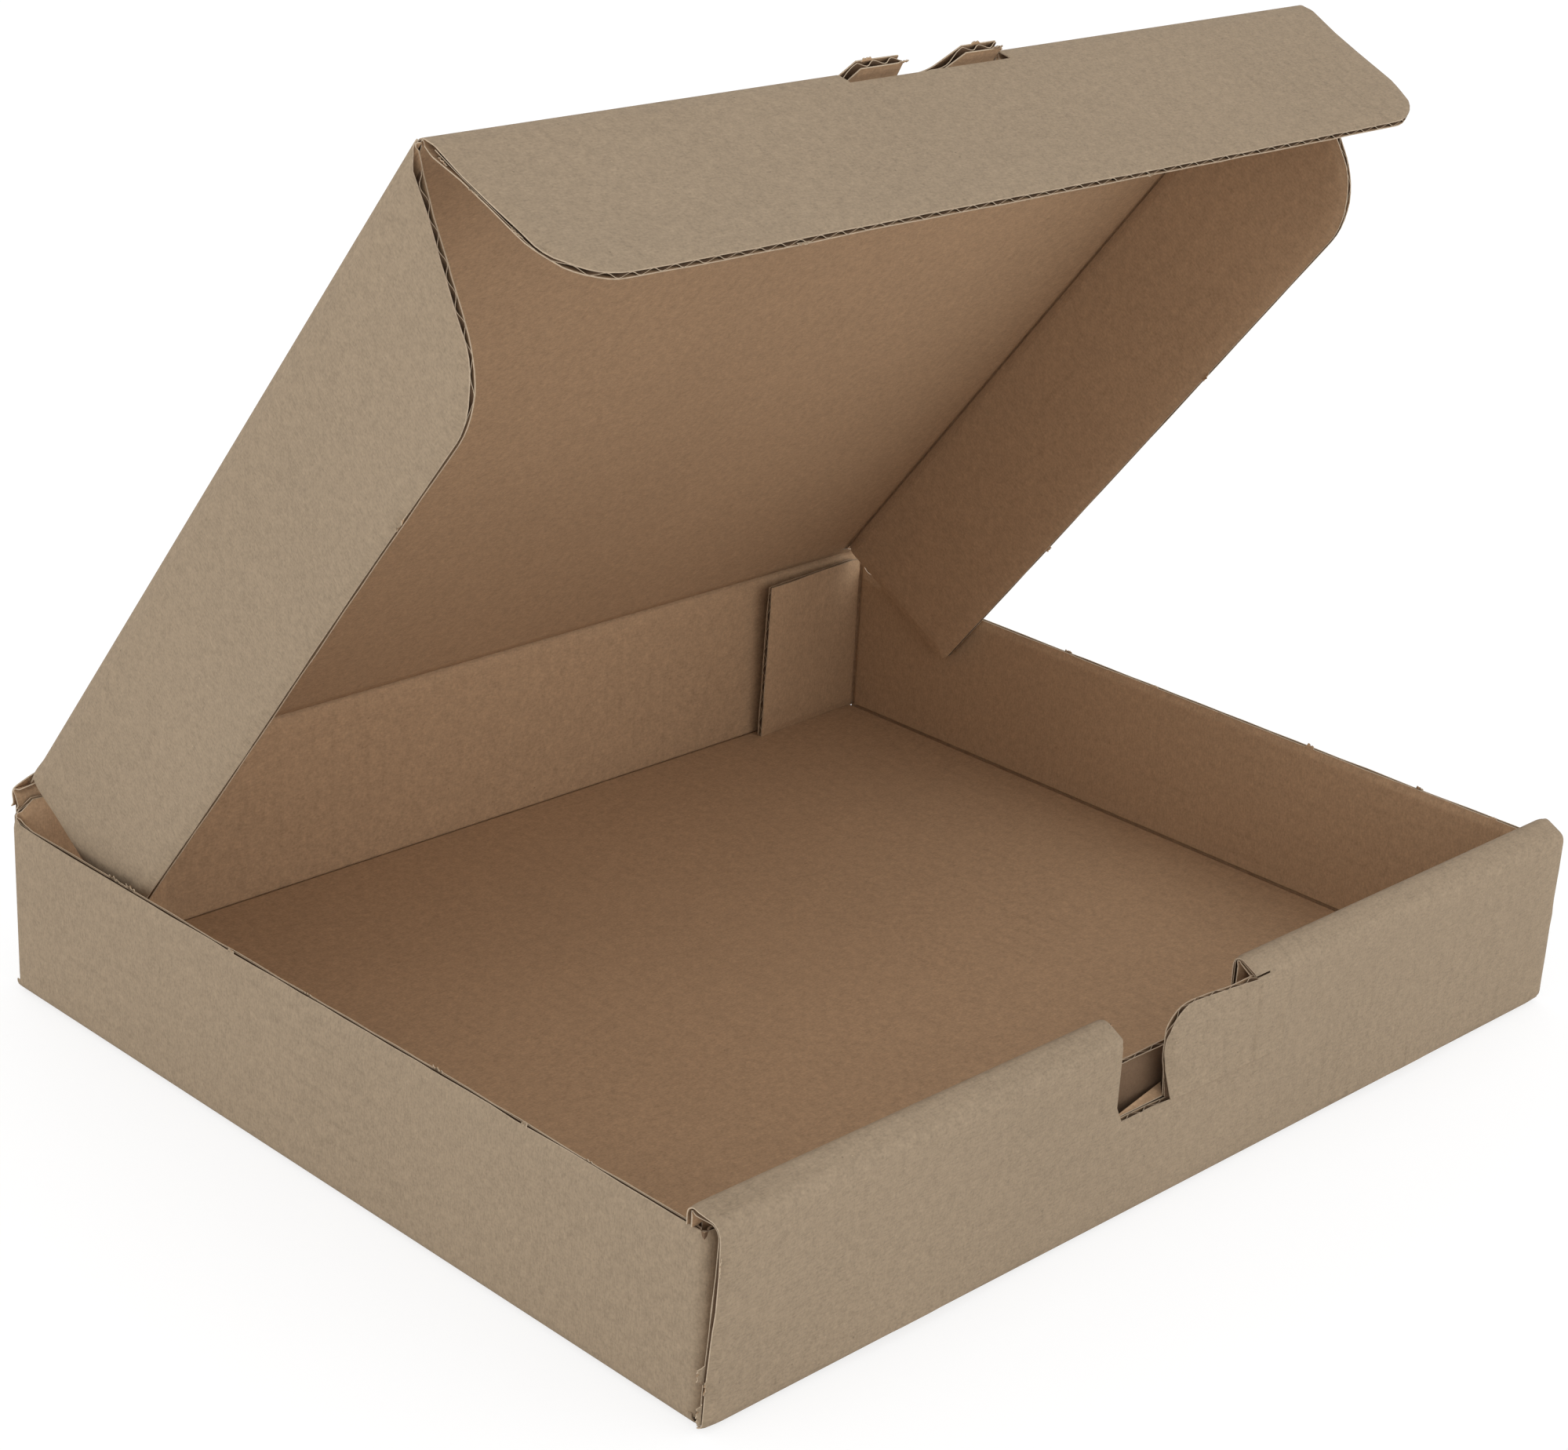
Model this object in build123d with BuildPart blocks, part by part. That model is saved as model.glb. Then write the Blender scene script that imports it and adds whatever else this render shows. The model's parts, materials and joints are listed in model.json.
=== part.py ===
"""Folded cake box of fluted board: a tray and a hinged lid with three flaps.

Millimetres. The origin is the middle of the tray's underside, +X runs to the right along the
front, +Y runs to the rear and +Z is up.
"""

import os
from math import cos, radians, sin

from build123d import *

os.makedirs("parts", exist_ok=True)

# Tray, outside sizes and board
tray_width = 330.0
tray_depth = 280.0
side_wall_height = 50.0
board = 3.0
fold_inner_radius = 0.7
layer_gap = 0.4
overrun = 5.0

# Corner flaps, turned in from the ends of the side walls
corner_flap_length = 46.0
rear_flap_spring = 2.0

# Front wall, rolled over: heights of its two upper fold lines, at the middle of the board
front_fold_height = 51.7
ridge_height = 55.6

# Floor tabs at the foot of the inner front panel
floor_tab_width = 46.0
floor_tab_place = 98.0

# Lock opening in the ridge, the notch below it and the tongue beside the notch
lock_width = 51.0
lock_inner_edge_height = 40.0
notch_width = 18.5
notch_bottom_height = 29.0
tongue_top_height = 52.2
tongue_lean = 3.0
tongue_round = 11.0

# Lid and its creases
lid_open_angle = 52.0
lid_clearance = 0.4
lid_tuck_gap = 3.2
lid_side_gap = 4.0
hinge_gap = 0.3
crease_width = 4.2
crease_web = 0.8

# Lock tabs and finger notch on the lid's front edge
tab_reach = 3.5
left_tab_left = -27.0
left_tab_right = -6.0
left_tab_slant = 4.0
left_tab_taper = 1.5
right_tab_left = 8.0
right_tab_right = 28.5
right_tab_slant = 6.5
right_tab_taper = 2.0
tab_slot_margin = 1.0
finger_notch_depth = 5.0

# Lid flaps
flap_floor_gap = 2.0
side_flap_angle = 88.0
side_flap_rear = 9.5
side_flap_front_gap = 1.0
side_flap_slant = 21.5
side_flap_front_round = 22.0
side_flap_rear_round = 6.0
front_flap_angle = 76.0
front_flap_end_gap = 1.5
front_flap_taper = 1.5
front_flap_round = 16.0

# Places that follow from the sizes above
half_board = board / 2
half_width = tray_width / 2
half_depth = tray_depth / 2
fold_radius = fold_inner_radius + half_board
fold_outer_radius = fold_inner_radius + board
wall_x = half_width - half_board
front_y = -half_depth + half_board
rear_y = half_depth - half_board
flap_layer_y = half_depth - board - layer_gap - half_board
inner_front_y = -half_depth + 2 * (board + layer_gap) + half_board
straight_wall = 2 * (flap_layer_y - fold_radius)
hinge_height = ridge_height + half_board + lid_clearance
rear_wall_top = hinge_height - half_board - hinge_gap
lock_half = lock_width / 2
notch_right = -lock_half + notch_width

fold_x = half_width - board - lid_side_gap - half_board
lid_length = rear_y - (inner_front_y + board + lid_tuck_gap)
panel_half_width = fold_x - half_board - hinge_gap
panel_length = lid_length - half_board - hinge_gap
flap_width = hinge_height - board - flap_floor_gap


# Tray
with BuildPart() as tray:
    # Front wall: inner panel, ridge, top strip and outer panel, down to the floor
    with BuildSketch(Plane.YZ):
        with BuildLine():
            FilletPolyline(
                (inner_front_y, board + layer_gap),
                (inner_front_y, ridge_height),
                (front_y, front_fold_height),
                (front_y, half_board),
                (-straight_wall / 2, half_board),
                radius=fold_radius,
            )
        trace(line_width=board)
    extrude(amount=half_width, both=True)

    # The inner front panel's ends stop short of the side walls
    end_cut_height = side_wall_height + layer_gap
    with Locations((-half_width, inner_front_y, 0), (half_width, inner_front_y, 0)):
        Box(
            2 * (board + layer_gap),
            board + layer_gap,
            end_cut_height,
            align=(Align.CENTER, Align.CENTER, Align.MIN),
            mode=Mode.SUBTRACT,
        )

    # Rear wall, from the floor up to the lid's crease
    with BuildSketch(Plane.YZ):
        with BuildLine():
            FilletPolyline(
                (straight_wall / 2, half_board),
                (rear_y, half_board),
                (rear_y, rear_wall_top),
                radius=fold_radius,
            )
        trace(line_width=board)
    extrude(amount=half_width, both=True)

    # Floor and side walls, one channel running from front to rear between the corner folds
    with BuildSketch(Plane.XZ):
        with BuildLine():
            FilletPolyline(
                (-wall_x, side_wall_height),
                (-wall_x, half_board),
                (wall_x, half_board),
                (wall_x, side_wall_height),
                radius=fold_radius,
            )
        trace(line_width=board)
    extrude(amount=straight_wall / 2, both=True)

    # Side walls again with their corner flaps, clear of the floor: a hook at each end
    with BuildSketch(Plane.XY.offset(board + layer_gap)):
        with BuildLine():
            FilletPolyline(
                (wall_x - corner_flap_length, -flap_layer_y),
                (wall_x, -flap_layer_y),
                (wall_x, flap_layer_y),
                (wall_x - corner_flap_length, flap_layer_y - rear_flap_spring),
                radius=fold_radius,
            )
        trace(line_width=board)
        mirror(about=Plane.YZ)
    extrude(amount=side_wall_height - board - layer_gap)

    # The floor's corners are cut away under the corner folds
    corner_cut = half_depth - fold_outer_radius - straight_wall / 2
    with GridLocations(tray_width, straight_wall + corner_cut, 2, 2):
        Box(2 * board, corner_cut, 2 * board, mode=Mode.SUBTRACT)

    # Slots in the floor, and the inner panel's tabs standing in them
    slot_width = floor_tab_width + 2 * layer_gap
    with Locations((-floor_tab_place, inner_front_y, 0), (floor_tab_place, inner_front_y, 0)):
        Box(slot_width, board + 2 * layer_gap, 2 * board, mode=Mode.SUBTRACT)
        Box(
            floor_tab_width,
            board,
            2 * board,
            align=(Align.CENTER, Align.CENTER, Align.MIN),
        )

    # Lock opening: through the strip, the ridge and the inner panel's top, and the notch below
    with BuildSketch(Plane.XZ.offset(half_depth + overrun)):
        with BuildLine():
            Polyline(
                (-lock_half, notch_bottom_height),
                (notch_right, notch_bottom_height),
                (notch_right, lock_inner_edge_height),
                (lock_half, lock_inner_edge_height),
                (lock_half, ridge_height + overrun),
                (-lock_half, ridge_height + overrun),
                close=True,
            )
        make_face()
    extrude(amount=-(overrun + 2 * (board + layer_gap)), mode=Mode.SUBTRACT)
    with Locations((0, inner_front_y, lock_inner_edge_height)):
        Box(
            lock_width,
            2 * (board + layer_gap),
            ridge_height,
            align=(Align.CENTER, Align.CENTER, Align.MIN),
            mode=Mode.SUBTRACT,
        )

    # Tongue beside the notch, flat in the plane of the outer front panel
    with BuildSketch(Plane.XZ.offset(half_depth)):
        with BuildLine():
            FilletPolyline(
                (notch_right, notch_bottom_height),
                (notch_right - tongue_lean, tongue_top_height),
                (lock_half, tongue_top_height),
                (lock_half, notch_bottom_height),
                radius=(0, tongue_round, 0, 0),
                close=True,
            )
        make_face()
    extrude(amount=-board)

tray.part.label = "tray"
export_step(tray.part, "parts/tray.step")


# The lid's own frame: on its crease, at the middle of the board, level when the box is closed
open_angle = radians(lid_open_angle)
lid_plane = Plane(
    origin=(0, rear_y, hinge_height),
    x_dir=(1, 0, 0),
    z_dir=(0, sin(open_angle), cos(open_angle)),
)


def lid_point(x, y, z):
    """A point of the lid's own frame, in the box's frame."""
    return lid_plane.from_local_coords(Vector(x, y, z))


def lid_direction(x, y, z):
    """A direction of the lid's own frame, in the box's frame."""
    return lid_point(x, y, z) - lid_plane.origin


# Lid panel
with BuildPart(lid_plane) as lid:
    with BuildSketch(lid_plane):
        with BuildLine():
            Polyline(
                (-panel_half_width, 0),
                (-panel_half_width, -panel_length),
                (left_tab_left, -panel_length),
                (left_tab_left + left_tab_slant, -lid_length - tab_reach),
                (left_tab_right - left_tab_taper, -lid_length - tab_reach),
                (left_tab_right, -lid_length + finger_notch_depth),
                (right_tab_left, -lid_length + finger_notch_depth),
                (right_tab_left + right_tab_slant, -lid_length - tab_reach),
                (right_tab_right - right_tab_taper, -lid_length - tab_reach),
                (right_tab_right, -panel_length),
                (panel_half_width, -panel_length),
                (panel_half_width, 0),
                close=True,
            )
        make_face()
    extrude(amount=half_board, both=True)
    # Rounded rear edge, turning on the crease
    Cylinder(half_board, 2 * panel_half_width, rotation=(0, 90, 0))
    # Crushed creases under the side edges, so that the flaps can fold in
    with BuildSketch(Plane(lid_plane.origin, lid_plane.x_dir, lid_direction(0, -1, 0))):
        for side in (-1, 1):
            with BuildLine():
                Polyline(
                    (side * panel_half_width, half_board - crease_web),
                    (side * panel_half_width, -half_board),
                    (side * (panel_half_width - crease_width), -half_board),
                    close=True,
                )
            make_face()
    extrude(amount=panel_length, mode=Mode.SUBTRACT)
    # The same crease under the front edge, on both sides of the lock tabs
    for start, end in ((-panel_half_width, left_tab_left), (right_tab_right, panel_half_width)):
        with BuildSketch(Plane(lid_point(start, 0, 0), lid_direction(0, 1, 0), lid_plane.x_dir)):
            with BuildLine():
                Polyline(
                    (-panel_length, half_board - crease_web),
                    (-panel_length, -half_board),
                    (-panel_length + crease_width, -half_board),
                    close=True,
                )
            make_face()
        extrude(amount=end - start, mode=Mode.SUBTRACT)

lid.part.label = "lid"
export_step(lid.part, "parts/lid.step")


def side_flap(side):
    """One side flap of the lid, hanging from the lid's left (-1) or right (+1) edge."""
    angle = radians(side_flap_angle)
    flap_plane = Plane(
        origin=lid_point(side * fold_x, 0, 0),
        x_dir=lid_direction(0, -1, 0),
        z_dir=lid_direction(sin(angle), 0, side * cos(angle)),
    )
    front = panel_length - side_flap_front_gap
    with BuildPart(flap_plane) as flap:
        with BuildSketch(flap_plane):
            with BuildLine():
                FilletPolyline(
                    (side_flap_rear, 0),
                    (side_flap_rear, flap_width),
                    (front - side_flap_slant, flap_width),
                    (front, 0),
                    radius=(0, side_flap_rear_round, side_flap_front_round, 0),
                    close=True,
                )
            make_face()
        extrude(amount=half_board, both=True)
        # Rounded edge, turning on the crease
        with Locations(((side_flap_rear + front) / 2, 0, 0)):
            Cylinder(half_board, front - side_flap_rear, rotation=(0, 90, 0))
    return flap.part


left_flap = side_flap(-1)
left_flap.label = "lid_left_flap"
export_step(left_flap, "parts/lid_left_flap.step")

right_flap = side_flap(1)
right_flap.label = "lid_right_flap"
export_step(right_flap, "parts/lid_right_flap.step")


# Front flap, with a slot round the lid's lock tabs
front_angle = radians(front_flap_angle)
front_flap_plane = Plane(
    origin=lid_point(0, -lid_length, 0),
    x_dir=lid_direction(1, 0, 0),
    z_dir=lid_direction(0, -sin(front_angle), cos(front_angle)),
)
front_flap_half = fold_x - front_flap_end_gap
tab_slot_left = left_tab_left - tab_slot_margin
tab_slot_right = right_tab_right + tab_slot_margin
tab_slot_depth = tab_reach + tab_slot_margin

with BuildPart(front_flap_plane) as front_flap:
    with BuildSketch(front_flap_plane):
        with BuildLine():
            FilletPolyline(
                (-front_flap_half, 0),
                (-front_flap_half + front_flap_taper, -flap_width),
                (front_flap_half - front_flap_taper, -flap_width),
                (front_flap_half, 0),
                radius=(0, front_flap_round, front_flap_round, 0),
                close=True,
            )
        make_face()
    extrude(amount=half_board, both=True)
    # Rounded edge, turning on the crease
    Cylinder(half_board, 2 * front_flap_half, rotation=(0, 90, 0))
    with Locations(((tab_slot_left + tab_slot_right) / 2, 0, 0)):
        Box(tab_slot_right - tab_slot_left, 2 * tab_slot_depth, 2 * board, mode=Mode.SUBTRACT)

front_flap.part.label = "lid_front_flap"
export_step(front_flap.part, "parts/lid_front_flap.step")
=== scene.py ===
"""The looks of a folded cake box of brown fluted board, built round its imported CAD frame.

Every panel is made as the real board is: two paper liners with a fluted paper between them, cut flat to
its outline, pressed thin at its cut edges and folds, and then bent along its folds. Metres, in the frame
of the CAD model.
"""

import json
import math
from typing import NamedTuple

import bmesh
import bpy
from mathutils import Matrix, Vector, noise


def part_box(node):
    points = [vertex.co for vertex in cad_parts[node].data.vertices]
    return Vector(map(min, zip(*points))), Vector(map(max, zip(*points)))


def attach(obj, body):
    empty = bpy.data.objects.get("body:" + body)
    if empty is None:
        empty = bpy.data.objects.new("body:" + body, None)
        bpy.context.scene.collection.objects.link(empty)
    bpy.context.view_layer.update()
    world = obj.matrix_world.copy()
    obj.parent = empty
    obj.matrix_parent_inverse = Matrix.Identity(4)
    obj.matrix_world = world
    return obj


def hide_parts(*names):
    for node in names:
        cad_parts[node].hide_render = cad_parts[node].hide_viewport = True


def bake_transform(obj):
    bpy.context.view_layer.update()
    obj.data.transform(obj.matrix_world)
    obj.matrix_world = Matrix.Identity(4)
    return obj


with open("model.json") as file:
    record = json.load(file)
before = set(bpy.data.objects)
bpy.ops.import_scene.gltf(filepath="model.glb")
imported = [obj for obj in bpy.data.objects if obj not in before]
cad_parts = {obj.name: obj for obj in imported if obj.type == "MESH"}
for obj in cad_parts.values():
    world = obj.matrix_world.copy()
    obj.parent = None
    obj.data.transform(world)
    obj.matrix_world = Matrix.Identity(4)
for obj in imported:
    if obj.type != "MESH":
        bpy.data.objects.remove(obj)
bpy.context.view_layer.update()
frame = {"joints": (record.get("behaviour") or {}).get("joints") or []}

bl_info = {
    "name": "Folded cake box",
    "version": (1, 0, 0),
    "blender": (4, 5, 0),
    "location": "3D View > Sidebar > Cake box",
    "description": "Builds a fluted-board cake box round its CAD frame",
    "category": "Object",
}

# Places that the CAD frame gives
JOINTS = {joint["name"]: joint for joint in frame["joints"]}
TRAY_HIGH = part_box("tray")[1]
LID_HINGE = Vector(JOINTS["lid_hinge"]["pos_m"])
FRONT_FOLD = Vector(JOINTS["front_flap_fold"]["pos_m"])
SIDE_FOLD_X = JOINTS["right_flap_fold"]["pos_m"][0]
LID_RUN = Vector(JOINTS["left_flap_fold"]["axis"]).normalized()
LID_TOP = Vector((0, LID_RUN.z, -LID_RUN.y))
LID_LENGTH = (FRONT_FOLD - LID_HINGE).length

# Material slots of every board
OUTER, INNER, FLUTE, EDGE = range(4)

# Each side flap's name, the side that its board is bent to, and its body
FLAP_SIDES = (("left", 1, "left_flap"), ("right", -1, "right_flap"))

# Fineness of the meshes
CRUSH_RINGS = 3
SLICES_PER_FLUTE = 8
ROUND_SEGMENTS = 10
HAIR = 1e-5
SLICE_TOLERANCE = 1e-6
SHARP_ANGLE = math.radians(38)

# Share of the pressed board's half thickness that a liner may fill
LINER_LIMIT = 0.8

# Half width of the tongue's crease in grooves, and its height on the panel and on the tongue
CREASE_GROOVES = 1.3
PANEL_CREASE, TONGUE_CREASE = 0.0006, 0.0004

# Unevenness: shares, and how quickly it changes over a metre
CRUSH_UNEVEN, CRUSH_CHANGE = 0.6, 130
RIPPLE_CHANGE = 14
WALL_CHANGE, WALL_QUICK_CHANGE = 11, 60


def setting(kind, **options):
    """A maker of settings of one kind, which a user may change."""
    def make(name, description, default):
        return kind(name=name, description=description, default=default, **options)
    return make


length = setting(bpy.props.FloatProperty, unit="LENGTH", precision=5)
share = setting(bpy.props.FloatProperty, min=0, max=1, subtype="FACTOR")
colour = setting(bpy.props.FloatVectorProperty, size=3, min=0, max=1, subtype="COLOR")
place = setting(bpy.props.FloatVectorProperty, size=3, subtype="TRANSLATION", unit="LENGTH")
span = setting(bpy.props.FloatVectorProperty, size=2, unit="LENGTH")
power = setting(bpy.props.FloatProperty, unit="POWER")
radians = setting(bpy.props.FloatProperty, subtype="ANGLE")


def angle(name, description, degrees):
    """An angle that a user may change."""
    return radians(name, description, math.radians(degrees))


class BoxBoard(bpy.types.PropertyGroup):
    """The fluted board and how it is creased."""

    thickness: length("Board", "Thickness of the board", 0.003)
    liner: length("Liner", "Thickness of each paper liner", 0.00034)
    medium: length("Flute paper", "Thickness of the fluted paper", 0.00026)
    pitch: length("Flute pitch", "Distance from one flute to the next", 0.0063)
    layer_gap: length("Layer gap", "Gap between layers of board that lie together", 0.0004)
    fold_radius: length("Fold radius", "Radius of the board's middle in a soft fold", 0.0022)
    tight_radius: length("Tight radius", "Radius of the board's middle in a sharp fold", 0.0014)
    crease_reach: length("Crease reach", "How far a turning crease reaches from its fold", 0.0045)
    press: share("Press", "Share of its thickness that the board loses in a fold", 0.45)
    groove_depth: length("Groove depth", "How deep a crease is pressed into the inner liner", 0.0008)
    groove_width: length("Groove width", "Half the width of a crease line", 0.0009)
    crush_reach: length("Crush reach", "How far in a cut edge is pressed thin", 0.0027)
    crush: share("Crush", "Share of its thickness that an edge cut across the flutes loses", 0.36)
    side_crush: share("Side crush", "Share of its thickness that an edge cut along the flutes loses", 0.52)
    seam_fade: length("Seam fade", "How far from a fold a cut edge keeps its full thickness", 0.004)
    flute_depth: length("Flute depth", "How far in from a cut edge the fluted paper is made", 0.011)
    ripple: length("Ripple", "Slight unevenness of a panel", 0.0003)
    grid: length("Grid", "Spacing of a panel's mesh", 0.009)


class BoxTray(bpy.types.PropertyGroup):
    """Sizes of the tray."""

    wall_height: length("Side walls", "Height of the side walls", 0.050)
    corner_flap: length("Corner flaps", "Length of the corner flaps", 0.046)
    corner_radius: length("Front corners", "Radius of a side wall's fold at the front", 0.0013)
    left_rise: length("Left rise", "How far the left wall's rear corner rises above the wall", 0.002)
    right_rise: length("Right rise", "How far the right wall's rear corner rises above the wall", 0.0046)
    flap_drop: length("Flap drop", "How much lower the corner flaps reach than the side walls", 0.0006)
    flap_top: length("Rear flaps", "Height of the rear corner flaps", 0.0556)
    flap_spring: length("Flap spring", "How far a rear corner flap springs off the wall", 0.002)
    flap_lean: length("Flap lean", "How far a rear corner flap's top leans in", 0.0012)
    rear_inset: length("Rear inset", "How far the rear wall's ends stand back", 0.0045)
    left_ear: length("Left ear", "How far the rear wall's upper left corner reaches past its end", 0.0016)
    right_ear: length("Right ear", "How far the rear wall's upper right corner reaches past its end", 0.0038)
    ear_height: length("Ear height", "Reach of those corners below the lid's fold", 0.003)
    ear_bulge: length("Ear bulge", "How far those corners are crumpled in", 0.002)
    front_fold: length("Front fold", "Height of the front panel's upper fold", 0.0517)
    ridge: length("Ridge", "Height of the front wall's ridge", 0.0556)
    end_spring: length("End spring", "How far the front panel's left end springs out", 0.0028)
    floor_tab: length("Floor tabs", "Width of the tabs in the floor", 0.046)
    floor_tab_place: length("Tab places", "From the middle to each floor tab", 0.098)
    foot_bulge: length("Foot bulge", "How far the floor tabs push out the front fold", 0.0012)
    lock_half: length("Lock", "Half the width of the lock opening", 0.0255)
    lock_inner_edge: length("Lock edge", "Height of the inner panel's edge in the lock", 0.040)
    notch_right: length("Notch", "Right side of the notch", -0.007)
    notch_bottom: length("Notch bottom", "Height of the notch's bottom", 0.029)
    notch_roll: length("Notch roll", "How far the notch's left side is rolled in", 0.0034)
    lip: length("Notch lip", "Reach of the bent lip in the notch", 0.0034)
    tongue_top: length("Tongue", "Height of the tongue's top", 0.0522)
    tongue_lean: length("Tongue lean", "How far the tongue leans over the notch", 0.003)
    tongue_back: length("Tongue back", "How far the tongue's top is pushed in", 0.0022)
    tongue_round: length("Tongue round", "Reach of the tongue's rounded corner", 0.013)
    tongue_end: length("Tongue end", "Where the tongue's crease ends", 0.038)
    crease_ease: length("Crease ease", "How far from the notch the tongue's crease starts", 0.002)
    slit: length("Slit", "How far the tongue's cut runs on past the lock opening", 0.0055)


class BoxLid(bpy.types.PropertyGroup):
    """Sizes of the lid and its flaps."""

    tab_reach: length("Tab reach", "How far the lock tabs reach past the front fold", 0.0035)
    left_tab: span("Left tab", "Left and right end of the left tab's foot", (-0.027, -0.006))
    right_tab: span("Right tab", "Left and right end of the right tab's foot", (0.008, 0.0285))
    left_tab_slant: length("Left tab slant", "Slant of the left tab's left side", 0.004)
    right_tab_slant: length("Right tab slant", "Slant of the right tab's left side", 0.0065)
    left_tab_taper: length("Left tab taper", "Slant of the left tab's right side", 0.0022)
    right_tab_taper: length("Right tab taper", "Slant of the right tab's right side", 0.0014)
    notch_depth: length("Finger notch", "Depth of the finger notch between the tabs", 0.005)
    tab_margin: length("Tab margin", "Room beside the tabs in the front flap", 0.001)
    flap_width: length("Flap width", "Width of the three flaps", 0.0525)
    side_angle: angle("Side flap angle", "Fold of the side flaps at rest", 88)
    side_rear: length("Side flap rear", "From the rear crease to a side flap's rear edge", 0.0058)
    side_rear_slant: length("Rear slant", "Slant of a side flap's rear edge", 0.0048)
    side_lobe: length("Side lobe", "How far the rear end of a side fold is crumpled out", 0.0005)
    side_front: length("Side flap front", "From a side flap's front to the front fold", 0.0028)
    side_slant: length("Side flap slant", "Slant of a side flap's front end", 0.0215)
    side_round: length("Side flap round", "Reach of a side flap's front corner", 0.0148)
    side_rear_round: length("Side flap rear round", "Reach of a side flap's rear corner", 0.003)
    front_angle: angle("Front flap angle", "Fold of the front flap at rest", 76)
    front_gap: length("Front flap gap", "From a side fold to the front flap's end", 0.0015)
    front_taper: length("Front flap taper", "Taper of the front flap's ends", 0.0015)
    front_round: length("Front flap round", "Reach of the front flap's corners", 0.016)


class BoxFinish(bpy.types.PropertyGroup):
    """Colours of the papers."""

    outer: colour("Outer liner", "Greyish tan paper outside", (0.312, 0.238, 0.162))
    inner: colour("Inner liner", "Browner paper inside", (0.415, 0.271, 0.161))
    flute: colour("Flute paper", "Dark brown paper between the liners", (0.16, 0.10, 0.06))
    edge: colour("Cut edges", "Pale torn fibres of the cut edges", (0.47, 0.37, 0.265))
    floor: colour("Floor", "Pale studio floor", (0.86, 0.86, 0.86))


class BoxStage(bpy.types.PropertyGroup):
    """Camera and light."""

    image_width: bpy.props.IntProperty(name="Image width", description="Pixels across", default=1999)
    focal: bpy.props.FloatProperty(name="Focal length", description="In image pixels", default=4213.3)
    position: place("Camera", "Where the camera stands", (-0.5992, -0.5723, 0.4268))
    yaw: angle("Yaw", "Turn of the camera from the box's length", -45.906)
    pitch: angle("Pitch", "How far the camera looks down", 22.636)
    roll: angle("Roll", "Roll of the camera", 3.288)
    horizon: bpy.props.FloatProperty(name="Horizon", description="Even light from the sides", default=1.32)
    zenith: bpy.props.FloatProperty(name="Zenith", description="Even light from above", default=0.76)
    key: power("Key", "Power of the soft light from the left", 5.5)
    key_size: length("Key size", "Width of that light", 1.6)
    key_place: place("Key place", "Where that light hangs", (-1.9, 0.2, 0.40))
    fill: power("Fill", "Power of the soft fill light", 7.5)
    fill_size: length("Fill size", "Width of the fill light", 2.0)
    fill_place: place("Fill place", "Where the fill light stands", (0.9, -1.7, 0.7))


class BoxSettings(bpy.types.PropertyGroup):
    """Everything that a user would change."""

    board: bpy.props.PointerProperty(type=BoxBoard, name="Board", description="The board")
    tray: bpy.props.PointerProperty(type=BoxTray, name="Tray", description="The tray")
    lid: bpy.props.PointerProperty(type=BoxLid, name="Lid", description="The lid")
    finish: bpy.props.PointerProperty(type=BoxFinish, name="Finish", description="The papers")
    stage: bpy.props.PointerProperty(type=BoxStage, name="Stage", description="Camera and light")


# Soft steps between numbers

def smooth_step(value):
    """0 below 0, 1 above 1 and an even rise between."""
    value = min(1.0, max(0.0, value))
    return value * value * (3 - 2 * value)


def bump(value):
    """A soft hump, 1 at 0 and 0 beyond 1."""
    return 1 - smooth_step(abs(value))


def evenly(low, high, step):
    """Places from low to high, about a step apart, without the two ends."""
    count = max(1, round((high - low) / step))
    return [low + (high - low) * i / count for i in range(1, count)]


# Folding the flat board

class SectionPath:
    """The board's middle line through its folds: straight runs joined by tangent arcs.

    The outer liner is on the right hand of the line, where offsets are positive. One radius serves all
    folds, or each fold has its own.
    """

    FOLD_STEPS = 6

    def __init__(self, corners, *radii):
        corners = [Vector(corner) for corner in corners]
        runs = [after - before for before, after in zip(corners, corners[1:])]
        headings = [math.atan2(run.y, run.x) for run in runs]
        turns = [math.remainder(b - a, math.tau) for a, b in zip(headings, headings[1:])]
        if len(radii) == 1:
            radii = radii * len(turns)
        trims = [0, *(radius * math.tan(abs(turn) / 2) for radius, turn in zip(radii, turns)), 0]
        self.stretches, self.run_starts, self.folds = [], [], []
        along = 0.0
        for i, (run, heading) in enumerate(zip(runs, headings)):
            self.run_starts.append(along - trims[i])
            start = corners[i] + run.normalized() * trims[i]
            straight = run.length - trims[i] - trims[i + 1]
            self.stretches.append((along, start, heading, 0.0))
            along += straight
            if i < len(turns):
                end = start + run.normalized() * straight
                self.stretches.append((along, end, heading, math.copysign(1 / radii[i], turns[i])))
                self.folds.append((along, along + radii[i] * abs(turns[i])))
                along = self.folds[-1][1]
        self.length = along

    def at(self, run, distance):
        """Length along the line of the point at that distance from the run's first corner."""
        return self.run_starts[run] + distance

    def middle(self, fold):
        """Length along the line of the middle of a fold."""
        return sum(self.folds[fold]) / 2

    def fold_lines(self):
        """Where the mesh is divided, so that each fold comes out round."""
        return [
            start + (end - start) * step / self.FOLD_STEPS
            for start, end in self.folds
            for step in range(self.FOLD_STEPS + 1)
        ]

    def place(self, along, offset):
        """The point that far along the line and that far to its outer side."""
        start_along, start, heading, curve = self.stretches[0]
        for stretch in self.stretches:
            if stretch[0] <= along:
                start_along, start, heading, curve = stretch
        ahead = along - start_along
        if curve == 0:
            point = start + Vector((math.cos(heading), math.sin(heading))) * ahead
        else:
            centre = start + Vector((-math.sin(heading), math.cos(heading))) / curve
            heading += curve * ahead
            point = centre - Vector((-math.sin(heading), math.cos(heading))) / curve
        return point + Vector((math.sin(heading), -math.cos(heading))) * offset


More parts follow.
